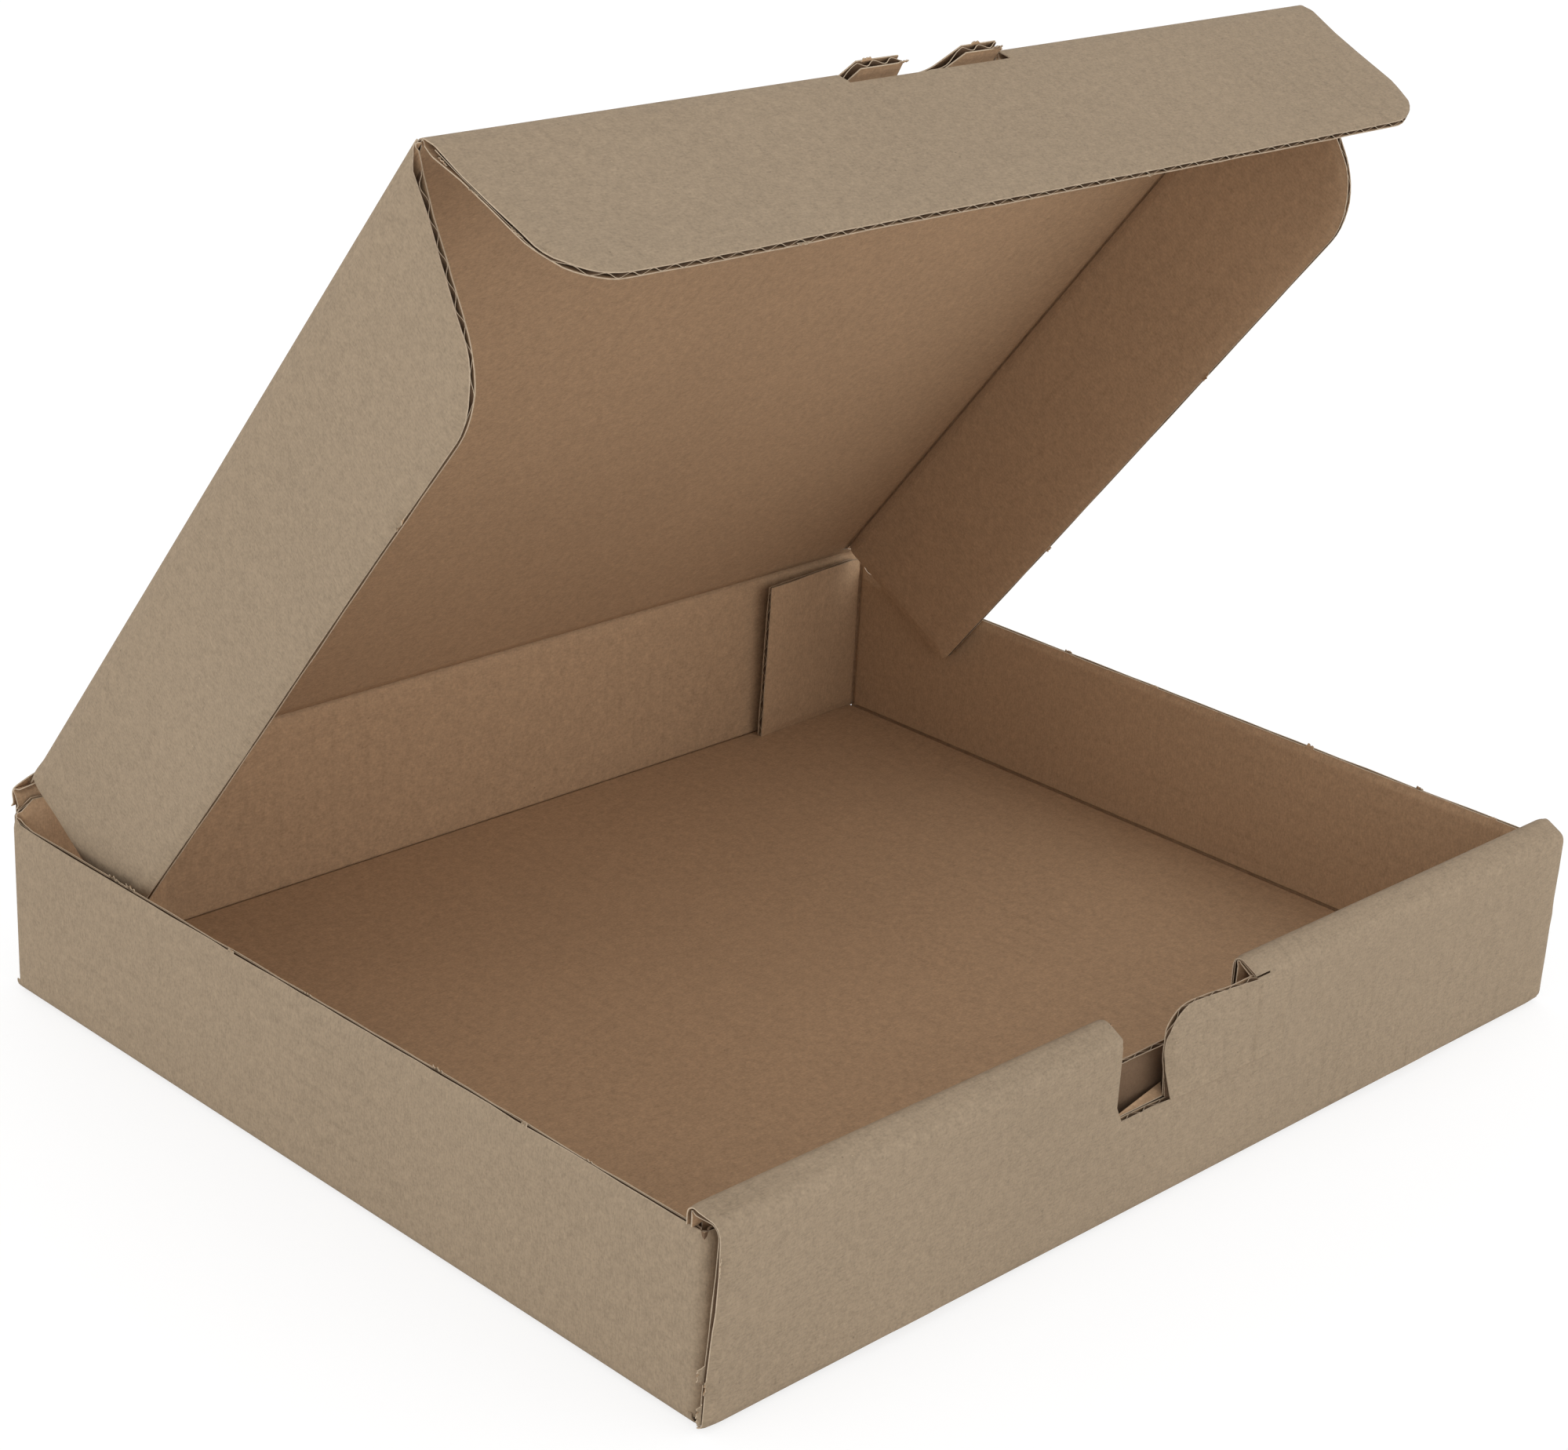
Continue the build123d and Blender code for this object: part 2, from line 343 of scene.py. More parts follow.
def lengthwise(path):
    """Bends a board along the box's length: the path lies in Y and Z, and X runs across."""
    def bend(along, across, offset):
        y, z = path.place(along, offset)
        return Vector((across, y, z))
    return bend


def sideways(path, side):
    """Bends a board from the floor up a side wall: the path lies in X and Z, and Y runs across."""
    def bend(along, across, offset):
        x, z = path.place(along, offset)
        return Vector((side * x, across, z))
    return bend


def around(path, side):
    """Bends a board round the tray's corners: the path lies in X and Y, and Z runs across."""
    def bend(along, across, offset):
        x, y = path.place(along, offset)
        return Vector((side * x, y, across))
    return bend


def along_lid(path, side):
    """Bends a board over the lid's side: the path lies in X and the lid's height, its run is across."""
    def bend(along, across, offset):
        x, height = path.place(along, offset)
        return LID_HINGE + Vector((side * x, 0, 0)) + LID_TOP * height + LID_RUN * across
    return bend


# Making the board

class FlatCut:
    """A flat piece of board: its outline, rounded corners and windows, and how it is pressed.

    Points are (along, across). Flutes run along unless fluted_across is set. Outline edges named in
    joined go on into the next board, and the others are cut edges, which the die has pressed thin by the
    board's usual share times crush. Grooves are places along where the inner liner is pressed in, as wide
    and deep as the board's usual groove times groove. Pressed holds the place, reach and share of each fold
    that is pressed thin. Lift moves the board to its outer side, and keep is a share of its thickness. The
    last setting is a window of the inner liner that takes the fluted paper's deeper brown as painted shade.
    """

    def __init__(self, outline, path=None, rounds=(), windows=(), joined=(), grooves=(), pressed=(),
                 lines=(), fluted_across=False, has_flutes=True, crush=0.0, groove=1.0, lift=None, keep=None,
                 painted_shade_window=None):
        self.outline = outline
        self.path = path
        self.rounds = rounds
        self.windows = windows
        self.grooves = grooves
        self.pressed = pressed
        self.lines = lines
        self.fluted_across = fluted_across
        self.has_flutes = has_flutes
        self.crush = crush
        self.groove = groove
        self.lift = lift
        self.keep = keep
        self.edges = []
        self.side_edges = []
        self.painted_shade_window = painted_shade_window
        self.seams = [edge_of(start, end) for start, end in joined]

    def span(self, axis):
        """Lowest and highest place of the outline along an axis, 0 for along and 1 for across."""
        places = [point[axis] for point in self.outline]
        return min(places), max(places)

    def mesh_lines(self, board):
        """Places along and across where every layer is divided."""
        lines = [self.path.fold_lines() if self.path else [], []]
        for axis, where in self.lines:
            lines[axis].append(where)
        for low_along, high_along, low_across, high_across in self.windows:
            lines[0] += [low_along, high_along]
            lines[1] += [low_across, high_across]
        for where in self.grooves:
            lines[0] += [where + self.groove * board.groove_width * step / 3 for step in range(-3, 4)]
        for where, reach, _ in self.pressed:
            lines[0] += [where + reach * step / 4 for step in range(-4, 5)]
        return lines

    def crushed_share(self, along, across, board):
        """Share of its thickness that the die takes from a point by the nearest cut edges."""
        if not self.crush:
            return 0.0
        along_flutes = edge_distance(along, across, self.side_edges, board.crush_reach) / board.crush_reach
        across_flutes = edge_distance(along, across, self.edges, board.crush_reach) / board.crush_reach
        return self.crush * max(board.side_crush * bump(along_flutes), board.crush * bump(across_flutes))

    def kept_share(self, along, across, board):
        """Share of its thickness that the board keeps at a point."""
        kept = 1.0
        loss = self.crushed_share(along, across, board)
        if loss:
            where = Vector((along * CRUSH_CHANGE, across * CRUSH_CHANGE, 4.1))
            uneven = 1 + CRUSH_UNEVEN * noise.noise(where)
            uneven *= smooth_step(edge_distance(along, across, self.seams, board.seam_fade) / board.seam_fade)
            kept -= loss * uneven
        for where, reach, loss in self.pressed:
            kept *= 1 - loss * bump((along - where) / reach)
        if self.keep:
            kept *= self.keep(along, across)
        return kept


def edge_distance(along, across, edges, reach):
    """Distance of a flat point from the nearest of some edges, up to a reach."""
    nearest = reach
    for low_x, high_x, low_y, high_y, x, y, run_x, run_y in edges:
        if not (low_x - nearest < along < high_x + nearest and low_y - nearest < across < high_y + nearest):
            continue
        ahead = ((along - x) * run_x + (across - y) * run_y) / (run_x * run_x + run_y * run_y)
        ahead = min(1.0, max(0.0, ahead))
        nearest = min(nearest, math.hypot(along - x - run_x * ahead, across - y - run_y * ahead))
    return nearest


def edge_of(start, end):
    """An edge with its limits, as edge_distance reads it."""
    (x, y), (end_x, end_y) = start, end
    return (min(x, end_x), max(x, end_x), min(y, end_y), max(y, end_y), x, y, end_x - x, end_y - y)


def cut_blank(cut):
    """The flat outline as one face, with its corners rounded."""
    blank = bmesh.new()
    blank.faces.new([blank.verts.new((along, across, 0)) for along, across in cut.outline])
    for corner, reach in cut.rounds:
        where = Vector((*cut.outline[corner], 0))
        vert = min(blank.verts, key=lambda v: (v.co - where).length)
        bmesh.ops.bevel(
            blank, geom=[vert], offset=reach, offset_type="OFFSET", affect="VERTICES",
            segments=ROUND_SEGMENTS, profile=0.5, material=-1,
        )
    blank.normal_update()
    return blank


def find_edges(cut, blank):
    """Notes the cut edges: those of the outline that go on into no other board, and the windows' edges."""
    for edge in blank.edges:
        start, end = (vert.co.xy for vert in edge.verts)
        middle = (start + end) / 2
        if edge_distance(middle.x, middle.y, cut.seams, 2 * HAIR) > HAIR:
            cut.edges.append(edge_of(start, end))
            run = end - start
            if abs(run[1 if cut.fluted_across else 0]) > 0.9 * run.length:
                cut.side_edges.append(cut.edges[-1])
    for low_x, high_x, low_y, high_y in cut.windows:
        corners = [(low_x, low_y), (high_x, low_y), (high_x, high_y), (low_x, high_y)]
        for start, end in zip(corners, corners[1:] + corners[:1]):
            cut.edges.append(edge_of(start, end))


def slice_sheet(sheet, lines):
    """Divides a flat sheet at places along and across."""
    for axis, places in enumerate(lines):
        normal = Vector((1, 0, 0)) if axis == 0 else Vector((0, 1, 0))
        for where in sorted(set(places)):
            bmesh.ops.bisect_plane(
                sheet, geom=[*sheet.verts, *sheet.edges, *sheet.faces], dist=SLICE_TOLERANCE,
                plane_co=normal * where, plane_no=normal,
            )


def within(face, window):
    """Whether the middle of a face lies in a window of the flat board."""
    low_along, high_along, low_across, high_across = window
    along, across, _ = face.calc_center_median()
    return low_along < along < high_along and low_across < across < high_across


def divide_sheet(sheet, cut, lines, board):
    """Divides one layer: rings along its edges, then lines along and across, and its windows cut out."""
    if cut.crush:
        for _ in range(CRUSH_RINGS):
            inner = max(sheet.faces, key=lambda face: face.calc_area())
            bmesh.ops.inset_region(
                sheet, faces=[inner], thickness=board.crush_reach / CRUSH_RINGS, use_boundary=True,
                use_even_offset=True,
            )
    slice_sheet(sheet, lines)
    for window in cut.windows:
        inside = [face for face in sheet.faces if within(face, window)]
        bmesh.ops.delete(sheet, geom=inside, context="FACES")


def flute_sheet(sheet, cut, wave_axis, board):
    """Keeps the fluted paper near the cut edges, where it shows, and divides it finely across its waves."""
    depth = board.flute_depth
    hidden = [
        face for face in sheet.faces
        if edge_distance(*face.calc_center_median().xy, cut.edges, depth) >= depth
    ]
    bmesh.ops.delete(sheet, geom=hidden, context="FACES")
    waves = [[], []]
    waves[wave_axis] = evenly(*cut.span(wave_axis), board.pitch / SLICES_PER_FLUTE)
    slice_sheet(sheet, waves)


def add_board(target, cut, bend, board):
    """Adds a board to a mesh in the making: outer liner, inner liner and the fluted paper between them."""
    half = board.thickness / 2
    lines = cut.mesh_lines(board)
    grid = [lines[axis] + evenly(*cut.span(axis), board.grid) for axis in (0, 1)]
    wave_axis = 0 if cut.fluted_across else 1
    layers = [(OUTER, half - board.liner, half), (INNER, -half, board.liner - half)]
    if cut.has_flutes:
        layers.append((FLUTE, -board.medium / 2, board.medium / 2))
    blank = cut_blank(cut)
    find_edges(cut, blank)
    for kind, bottom, top in layers:
        sheet = blank.copy()
        divide_sheet(sheet, cut, grid, board)
        if kind == FLUTE:
            flute_sheet(sheet, cut, wave_axis, board)
        thicken(sheet, bottom, top, kind)
        flat_map(sheet, wave_axis)
        # The inner liner takes painted shade inside the given window.
        if kind == INNER and cut.painted_shade_window:
            paint_shade(sheet, cut.painted_shade_window)
        for vert in sheet.verts:
            vert.co = bend_point(vert.co, kind, cut, board, wave_axis, bend)
        add_layer(target, sheet)
    blank.free()


def add_layer(target, sheet):
    """Adds a finished layer to a mesh in the making."""
    bmesh.ops.recalc_face_normals(sheet, faces=sheet.faces)
    scratch = bpy.data.meshes.new("layer")
    sheet.to_mesh(scratch)
    sheet.free()
    target.from_mesh(scratch)
    bpy.data.meshes.remove(scratch)


def thicken(sheet, bottom, top, kind):
    """Gives a flat sheet its thickness, and its faces the papers that they show."""
    for face in sheet.faces:
        face.material_index = INNER if kind == OUTER else kind
    for vert in sheet.verts:
        vert.co.z = bottom
    grown = bmesh.ops.extrude_face_region(sheet, geom=sheet.faces[:])["geom"]
    for vert in (item for item in grown if isinstance(item, bmesh.types.BMVert)):
        vert.co.z = top
    for face in sheet.faces:
        heights = [vert.co.z for vert in face.verts]
        if max(heights) - min(heights) > (top - bottom) / 2:
            face.material_index = EDGE
        elif heights[0] > (top + bottom) / 2:
            face.material_index = kind


def paint_shade(sheet, window):
    """Paints shade: gives the part of the inner liner inside a window the fluted paper's deeper brown, as
    painted shade.
    """
    for face in sheet.faces:
        if face.material_index == INNER and within(face, window):
            face.material_index = FLUTE


def flat_map(sheet, wave_axis):
    """Keeps the flat board's own places as a UV map in metres, with V across the flutes."""
    flat = sheet.loops.layers.uv.new("flat_board")
    for face in sheet.faces:
        for loop in face.loops:
            along, across, _ = loop.vert.co
            loop[flat].uv = (across, along) if wave_axis == 0 else (along, across)


def bend_point(point, kind, cut, board, wave_axis, bend):
    """Where a point of the flat board comes to lie once it is fluted, pressed and bent."""
    along, across, offset = point
    if kind == FLUTE:
        inside = 1 - min(1.0, cut.crushed_share(along, across, board) / board.crush)
        swing = board.thickness / 2 - (1.2 + 0.8 * inside) * board.liner - board.medium / 2
        offset += swing * math.sin(math.tau * point[wave_axis] / board.pitch)
    kept = cut.kept_share(along, across, board)
    if kind == FLUTE:
        offset *= kept
    else:
        surface = board.thickness / 2
        depth = (surface - abs(offset)) * min(1.0, LINER_LIMIT * surface * kept / board.liner)
        offset = math.copysign(surface * kept - depth, offset)
    for where in cut.grooves:
        dent = bump((along - where) / (cut.groove * board.groove_width))
        if kind == INNER:
            offset += cut.groove * board.groove_depth * dent
        elif kind == FLUTE:
            offset += dent * (board.thickness / 2 - 1.5 * board.liner - offset)
    if cut.lift:
        offset += cut.lift(along, across)
    return bend(along, across, offset)


def ripples(seed, board, low_along, high_along, low_across, high_across):
    """Slight unevenness of a panel, fading out towards its sides."""
    fade = 4 * board.grid

    def lift(along, across):
        inside = min(along - low_along, high_along - along, across - low_across, high_across - across)
        if inside <= 0:
            return 0.0
        slow = noise.noise(Vector((along * RIPPLE_CHANGE, across * RIPPLE_CHANGE, seed)))
        return board.ripple * 2 * slow * smooth_step(inside / fade)
    return lift


class Scrap(NamedTuple):
    """A torn bit of paper at a cut edge, in the flat board's own places.

    It stands off the edge towards outward, starts at the offset and curls to the board's outer side.
    """

    along: float
    across: float
    outward: tuple
    width: float
    reach: float
    offset: float
    curl: float


def add_scraps(target, scraps, bend, board, lift=None):
    """Adds torn bits of paper, each with a ragged tip."""
    for seed, scrap in enumerate(scraps):
        sheet = bmesh.new()
        bmesh.ops.create_grid(sheet, x_segments=5, y_segments=8, size=0.5)
        thicken(sheet, 0, board.liner * 0.8, OUTER)
        for vert in sheet.verts:
            out, side = vert.co.x + 0.5, vert.co.y
            ragged = 0.75 + 0.9 * noise.noise(Vector((side * 5.3, out * 2.1, 3.7 * seed + scrap.along * 90)))
            reach = scrap.reach * out * max(0.15, ragged)
            aside = scrap.width * side * (1 - 0.35 * out)
            vert.co.x = scrap.along + scrap.outward[0] * reach - scrap.outward[1] * aside
            vert.co.y = scrap.across + scrap.outward[1] * reach + scrap.outward[0] * aside
            vert.co.z += scrap.offset + scrap.curl * out * out
            if lift:
                vert.co.z += lift(vert.co.x, vert.co.y)
        flat_map(sheet, 1)
        for vert in sheet.verts:
            vert.co = bend(*vert.co)
        add_layer(target, sheet)


def finish_piece(mesh_in_making, name):
    """Turns the finished bmesh into an object with the board's papers."""
    mesh = bpy.data.meshes.new(name)
    mesh_in_making.to_mesh(mesh)
    mesh_in_making.free()
    piece = bpy.data.objects.new(name, mesh)
    bpy.context.scene.collection.objects.link(piece)
    for material in papers():
        mesh.materials.append(material)
    mesh.shade_smooth()
    mesh.set_sharp_from_angle(angle=SHARP_ANGLE)
    return piece


# Papers

class Value:
    """A number socket that stands in sums: every sum adds its Math node."""

    def __init__(self, finish, socket):
        self.finish, self.socket = finish, socket

    def math(self, operation, *others):
        terms = dict(enumerate(others))
        node = self.finish.node("ShaderNodeMath", {"operation": operation}, terms)
        return Value(self.finish, node.outputs[0])

    def __add__(self, other):
        return self.math("ADD", self, other)

    def __radd__(self, other):
        return self.math("ADD", other, self)

    def __sub__(self, other):
        return self.math("SUBTRACT", self, other)

    def __rsub__(self, other):
        return self.math("SUBTRACT", other, self)

    def __mul__(self, other):
        return self.math("MULTIPLY", self, other)

    def __rmul__(self, other):
        return self.math("MULTIPLY", other, self)

    def sine(self):
        return self.math("SINE", self)

    def below(self, limit):
        return self.math("LESS_THAN", self, limit)

    def above(self, limit):
        return self.math("GREATER_THAN", self, limit)

    def at_least(self, limit):
        return self.math("MAXIMUM", self, limit)


class Finish:
    """A material or a sky in the making."""

    def __init__(self, owner, shader):
        owner.use_nodes = True
        self.tree = owner.node_tree
        self.shader = self.tree.nodes[shader]

    def node(self, kind, settings=None, inputs=None):
        """Adds a node, sets its settings first and then links or sets its sockets."""
        made = self.tree.nodes.new(kind)
        for key, value in (settings or {}).items():
            setattr(made, key, value)
        for key, value in (inputs or {}).items():
            self.feed(made.inputs[key], value)
        return made

    def feed(self, socket, value):
        """Links a value to a socket, or sets the socket to it."""
        if isinstance(value, Value):
            self.tree.links.new(value.socket, socket)
        elif isinstance(value, bpy.types.NodeSocket):
            self.tree.links.new(value, socket)
        else:
            socket.default_value = value

    def stretched(self, vector, scale):
        """Coordinates scaled by a different amount each way."""
        return self.node("ShaderNodeMapping", {}, {"Vector": vector, "Scale": scale}).outputs[0]

    def noise(self, vector, scale, detail=2.0):
        """Noise about zero."""
        made = self.node(
            "ShaderNodeTexNoise", {"noise_dimensions": "3D"},
            {"Vector": vector, "Scale": scale, "Detail": detail, "Roughness": 0.55},
        )
        return Value(self, made.outputs[0]) - 0.5

    def specks(self, vector, scale, size, rarity):
        """A mask of small scattered specks."""
        cells = self.node("ShaderNodeTexVoronoi", {"feature": "F1"}, {"Vector": vector, "Scale": scale})
        chance = self.node("ShaderNodeSeparateColor", {}, {"Color": cells.outputs["Color"]})
        near = Value(self, cells.outputs["Distance"]).below(size)
        return near * Value(self, chance.outputs["Red"]).above(rarity)

    def mix(self, factor, first, second):
        """A colour between two, or between a colour and a socket."""
        made = self.node("ShaderNodeMix", {"data_type": "RGBA"}, {0: factor, 6: first, 7: second})
        return made.outputs[2]


def tinted(base, factor):
    """A colour made lighter or darker, as a socket's value."""
    return (*(min(1.0, part * factor) for part in base), 1.0)


def paper(name, base, strength, flecks):
    """Uncoated brown paper: clouds, mottling, fibres, flecks, and painted shade in faint broken lines over
    the flutes, where their washboard relief would shade.
    """
    board = bpy.context.scene.cake_box.board
    material = bpy.data.materials.new(name)
    made = Finish(material, "Principled BSDF")
    where = made.node("ShaderNodeTexCoord").outputs["Object"]
    flat = made.node("ShaderNodeUVMap", {"uv_map": "flat_board"}).outputs["UV"]
    parts = made.node("ShaderNodeSeparateXYZ", {}, {"Vector": flat})

    clouds = made.noise(where, 12, 3)
    mottle = made.noise(where, 420, 4)
    grain = made.noise(where, 1500, 2)
    fibres = made.noise(made.stretched(flat, (2600, 420, 1)), 1.0, 2)
    lines = (Value(made, parts.outputs["Y"]) * (math.tau / board.pitch)).sine()
    # Painted shade: faint dark dashes along the flute lines, in broken patches, stand in for the shade of the
    # washboard relief; the bump below gives that relief itself.
    broken = (made.noise(made.stretched(flat, (95, 310, 1)), 1.0, 2) + made.noise(where, 17, 1)).at_least(0)
    washboard_shade = (lines - 0.45).at_least(0) * broken

    tone = 0.5 + strength * (clouds * 0.16 + mottle * 0.45 + grain * 0.6 + fibres * 0.45 - washboard_shade * 0.45)
    body = made.mix(tone, tinted(base, 0.72), tinted(base, 1.28))
    body = made.mix(made.specks(where, 260, 0.075, 1 - flecks) * 0.4, body, tinted(base, 0.35))
    body = made.mix(made.specks(where, 390, 0.085, 1 - flecks) * 0.4, body, tinted(base, 1.6))

    relief = mottle * 0.4 + grain * 0.5 + fibres * 0.5 + lines * 0.16
    uneven = made.node("ShaderNodeBump", {}, {"Strength": 0.25, "Distance": 0.0004, "Height": relief})
    made.feed(made.shader.inputs["Base Color"], body)
    made.feed(made.shader.inputs["Roughness"], 0.88 + mottle * 0.12)
    made.feed(made.shader.inputs["Normal"], uneven.outputs[0])
    made.shader.inputs["Specular IOR Level"].default_value = 0.2
    return material


def papers():
    """The board's four materials, in the order of its slots, made once."""
    finish = bpy.context.scene.cake_box.finish
    wanted = (
        ("outer_kraft", finish.outer, 1.5, 0.08),
        ("inner_kraft", finish.inner, 1.6, 0.05),
        ("flute_paper", finish.flute, 0.9, 0.04),
        ("cut_edge", finish.edge, 1.2, 0.05),
    )
    return [
        bpy.data.materials.get(name) or paper(name, tuple(base), strength, flecks)
        for name, base, strength, flecks in wanted
    ]


# Tray

class TrayPlan:
    """Places in the tray that several boards share."""

    def __init__(self, board, tray):
        half = board.thickness / 2
        self.half = half
        self.half_width = TRAY_HIGH.x
        self.half_depth = TRAY_HIGH.y
        self.wall_x = self.half_width - half
        self.front_y = -self.half_depth + half
        self.rear_y = self.half_depth - half
        self.rear_half = self.half_width - tray.rear_inset
        self.ears = {-1: self.rear_half + tray.left_ear, 1: self.rear_half + tray.right_ear}
        self.flap_y = self.half_depth - board.thickness - board.layer_gap - half
        self.inner_y = -self.half_depth + 2 * (board.thickness + board.layer_gap) + half
        self.floor_half = self.wall_x - board.fold_radius
        self.wall_foot = half + board.fold_radius
        self.crease_half = board.groove_width * CREASE_GROOVES


def ear_crumple(tray, plan, below_fold, across):
    """How far an upper corner of the rear wall is crumpled in, by the distance below the lid's fold."""
    at_end = smooth_step((abs(across) - plan.rear_half + 2 * tray.ear_height) / (3 * tray.ear_height))
    return -tray.ear_bulge * at_end * bump(below_fold / tray.ear_height - 1)


class TrayStrip:
    """The tray's long strip: inner front panel, ridge, front panel, floor and rear wall."""

    def __init__(self, board, tray):
        self.board, self.tray = board, tray
        self.plan = plan = TrayPlan(board, tray)
        tight = board.tight_radius
        self.path = path = SectionPath(
            (
                (plan.inner_y, 0), (plan.inner_y, tray.ridge), (plan.front_y, tray.front_fold),
                (plan.front_y, plan.half), (plan.rear_y, plan.half),
                (plan.rear_y, LID_HINGE.z - board.crease_reach),
            ),
            0.75 * tight, tight, tight, tight,
        )
        self.foot = board.thickness + board.layer_gap
        self.tab_in = tray.floor_tab_place - tray.floor_tab / 2
        self.tab_out = tray.floor_tab_place + tray.floor_tab / 2
        self.panel_top, self.panel_foot = path.folds[1][1], path.folds[2][0]
        self.floor_start, self.floor_end = path.folds[2][1], path.folds[3][0]
        self.notch_along = self.on_front(tray.notch_bottom)
        self.crease_half = plan.crease_half
        half_width, floor_half = plan.half_width, plan.floor_half
        self.panel_ripple = ripples(3.1, board, self.panel_top, self.panel_foot, -half_width, half_width)
        self.floor_ripple = ripples(8.4, board, self.floor_start, self.floor_end, -floor_half, floor_half)

    def on_front(self, height):
        """Length along the strip of a height on the front panel."""
        return self.path.at(2, self.tray.front_fold - height)

    def outline(self):
        tray, plan, path = self.tray, self.plan, self.path
        inner_half = plan.half_width - self.foot
        shoulder = path.at(0, tray.wall_height + self.board.layer_gap)
        right = [
            (self.foot, self.tab_in), (0, self.tab_in), (0, self.tab_out), (self.foot, self.tab_out),
            (self.foot, inner_half), (shoulder, inner_half), (shoulder, plan.half_width),
            (self.floor_start, plan.half_width), (self.floor_start, plan.floor_half),
            (self.floor_end, plan.floor_half), (self.floor_end, plan.rear_half),
            (path.length, plan.rear_half),
        ]
        return [(along, -across) for along, across in reversed(right)] + right

    def joined(self):
        plan = self.plan
        ends = [((self.path.length, -plan.rear_half), (self.path.length, plan.rear_half))]
        for side in (-1, 1):
            edge = side * plan.floor_half
            ends.append(((self.floor_start, edge), (self.floor_end, edge)))
        return ends

    def windows(self):
        """Floor slots, lock opening, and the slit past the tongue."""
        board, tray, path = self.board, self.tray, self.path
        slot_mid = path.at(3, self.plan.inner_y - self.plan.front_y)
        slot_reach = self.plan.half + board.layer_gap
        slit_along = path.folds[1][0] + board.liner
        slot = (slot_mid - slot_reach, slot_mid + slot_reach)
        return [
            (*slot, -self.tab_out, -self.tab_in), (*slot, self.tab_in, self.tab_out),
            (path.at(0, tray.lock_inner_edge), self.notch_along, -tray.lock_half, tray.lock_half),
            (slit_along, slit_along + board.liner, tray.lock_half, tray.lock_half + tray.slit),
        ]

    def lines(self):
        """More mesh lines beside the lock opening and the tongue's crease."""
        tray = self.tray
        beside = [(1, -tray.lock_half - tray.notch_roll * step / 4) for step in range(1, 5)]
        rings = [self.board.crush_reach / CRUSH_RINGS * i for i in range(1, CRUSH_RINGS + 1)]
        beside += [(1, tray.lock_half + ring) for ring in rings]
        beside += [(0, self.path.at(0, tray.lock_inner_edge) - ring) for ring in rings]
        below = [(0, self.notch_along + self.crease_half * step / 2) for step in (-2, -1, 1, 2)]
        upright = [(1, tray.tongue_end + self.crease_half * step / 2) for step in range(-2, 3)]
        return beside + below + upright

    def rolled(self, along, across):
        """How far the notch's left side and the ridge's end are rolled in, from 0 to 1."""
        tray = self.tray
        outside = -tray.lock_half - across
        start = self.path.folds[0][0] - tray.notch_roll
        if outside < -SLICE_TOLERANCE or not start < along < self.notch_along:
            return 0.0
        ends = smooth_step((self.notch_along - along) / tray.notch_roll)
        ends *= smooth_step((along - start) / tray.notch_roll)
        return ends * smooth_step(1 - outside / tray.notch_roll)

    def tongue_crease(self, along, across):
        """A faint raised crease at the tongue's foot and at its right end."""
        tray = self.tray
        ease, long_ease = 0.003, 0.01
        level = bump((along - self.notch_along) / self.crease_half)
        level *= smooth_step((across - tray.notch_right) / tray.crease_ease)
        level *= smooth_step((tray.tongue_end - across) / ease)
        above = smooth_step((self.notch_along - along) / ease)
        above *= smooth_step((along - self.panel_top) / long_ease)
        return PANEL_CREASE * (level + 0.6 * above * bump((across - tray.tongue_end) / self.crease_half))

    def sprung_end(self, along, across):
        """How far the front panel's left end springs off the corner, most at its top."""
        run = self.tray.corner_flap
        at_left = smooth_step((-across - self.plan.half_width + run) / run)
        if at_left == 0 or along > self.panel_foot:
            return 0.0
        top = self.path.folds[0][1]
        return self.tray.end_spring * at_left * smooth_step((self.panel_foot - along) / run) * smooth_step(
            (along - top) / (self.panel_top - top)
        )

    def foot_bulge(self, along, across):
        """How far the floor tabs push out the foot of the front panel."""
        from_foot = (self.panel_foot - along) / (8 * self.board.thickness)
        if from_foot <= 0:
            return 0.0
        beside_tab = bump((abs(across) - self.tray.floor_tab_place) / self.tray.floor_tab)
        return self.tray.foot_bulge * beside_tab * bump(from_foot)

    def lift(self, along, across):
        below_fold = self.path.length - along + self.board.crease_reach
        return (
            self.foot_bulge(along, across) + self.panel_ripple(along, across)
            - abs(self.floor_ripple(along, across)) - 0.45 * self.tray.notch_roll * self.rolled(along, across)
            + self.tongue_crease(along, across) + self.sprung_end(along, across)
            + ear_crumple(self.tray, self.plan, below_fold, across)
        )

    def keep(self, along, across):
        return 1 - 0.6 * self.rolled(along, across)

    def scraps(self):
        """Torn paper on the front panel's left end."""
        half, left = self.plan.half, -self.plan.half_width
        return [
            Scrap(self.on_front(0.0155), left, (0, -1), 0.005, 0.0017, -half * 0.5, -0.0006),
            Scrap(self.on_front(0.0125), left, (0, -1), 0.004, 0.0011, half * 0.3, 0.0006),
            Scrap(self.on_front(0.005), left, (0, -1), 0.006, 0.0012, -half * 0.2, -0.0005),
            Scrap(self.on_front(0.0445), left, (0, -1), 0.005, 0.0007, half * 0.5, 0.0003),
        ]


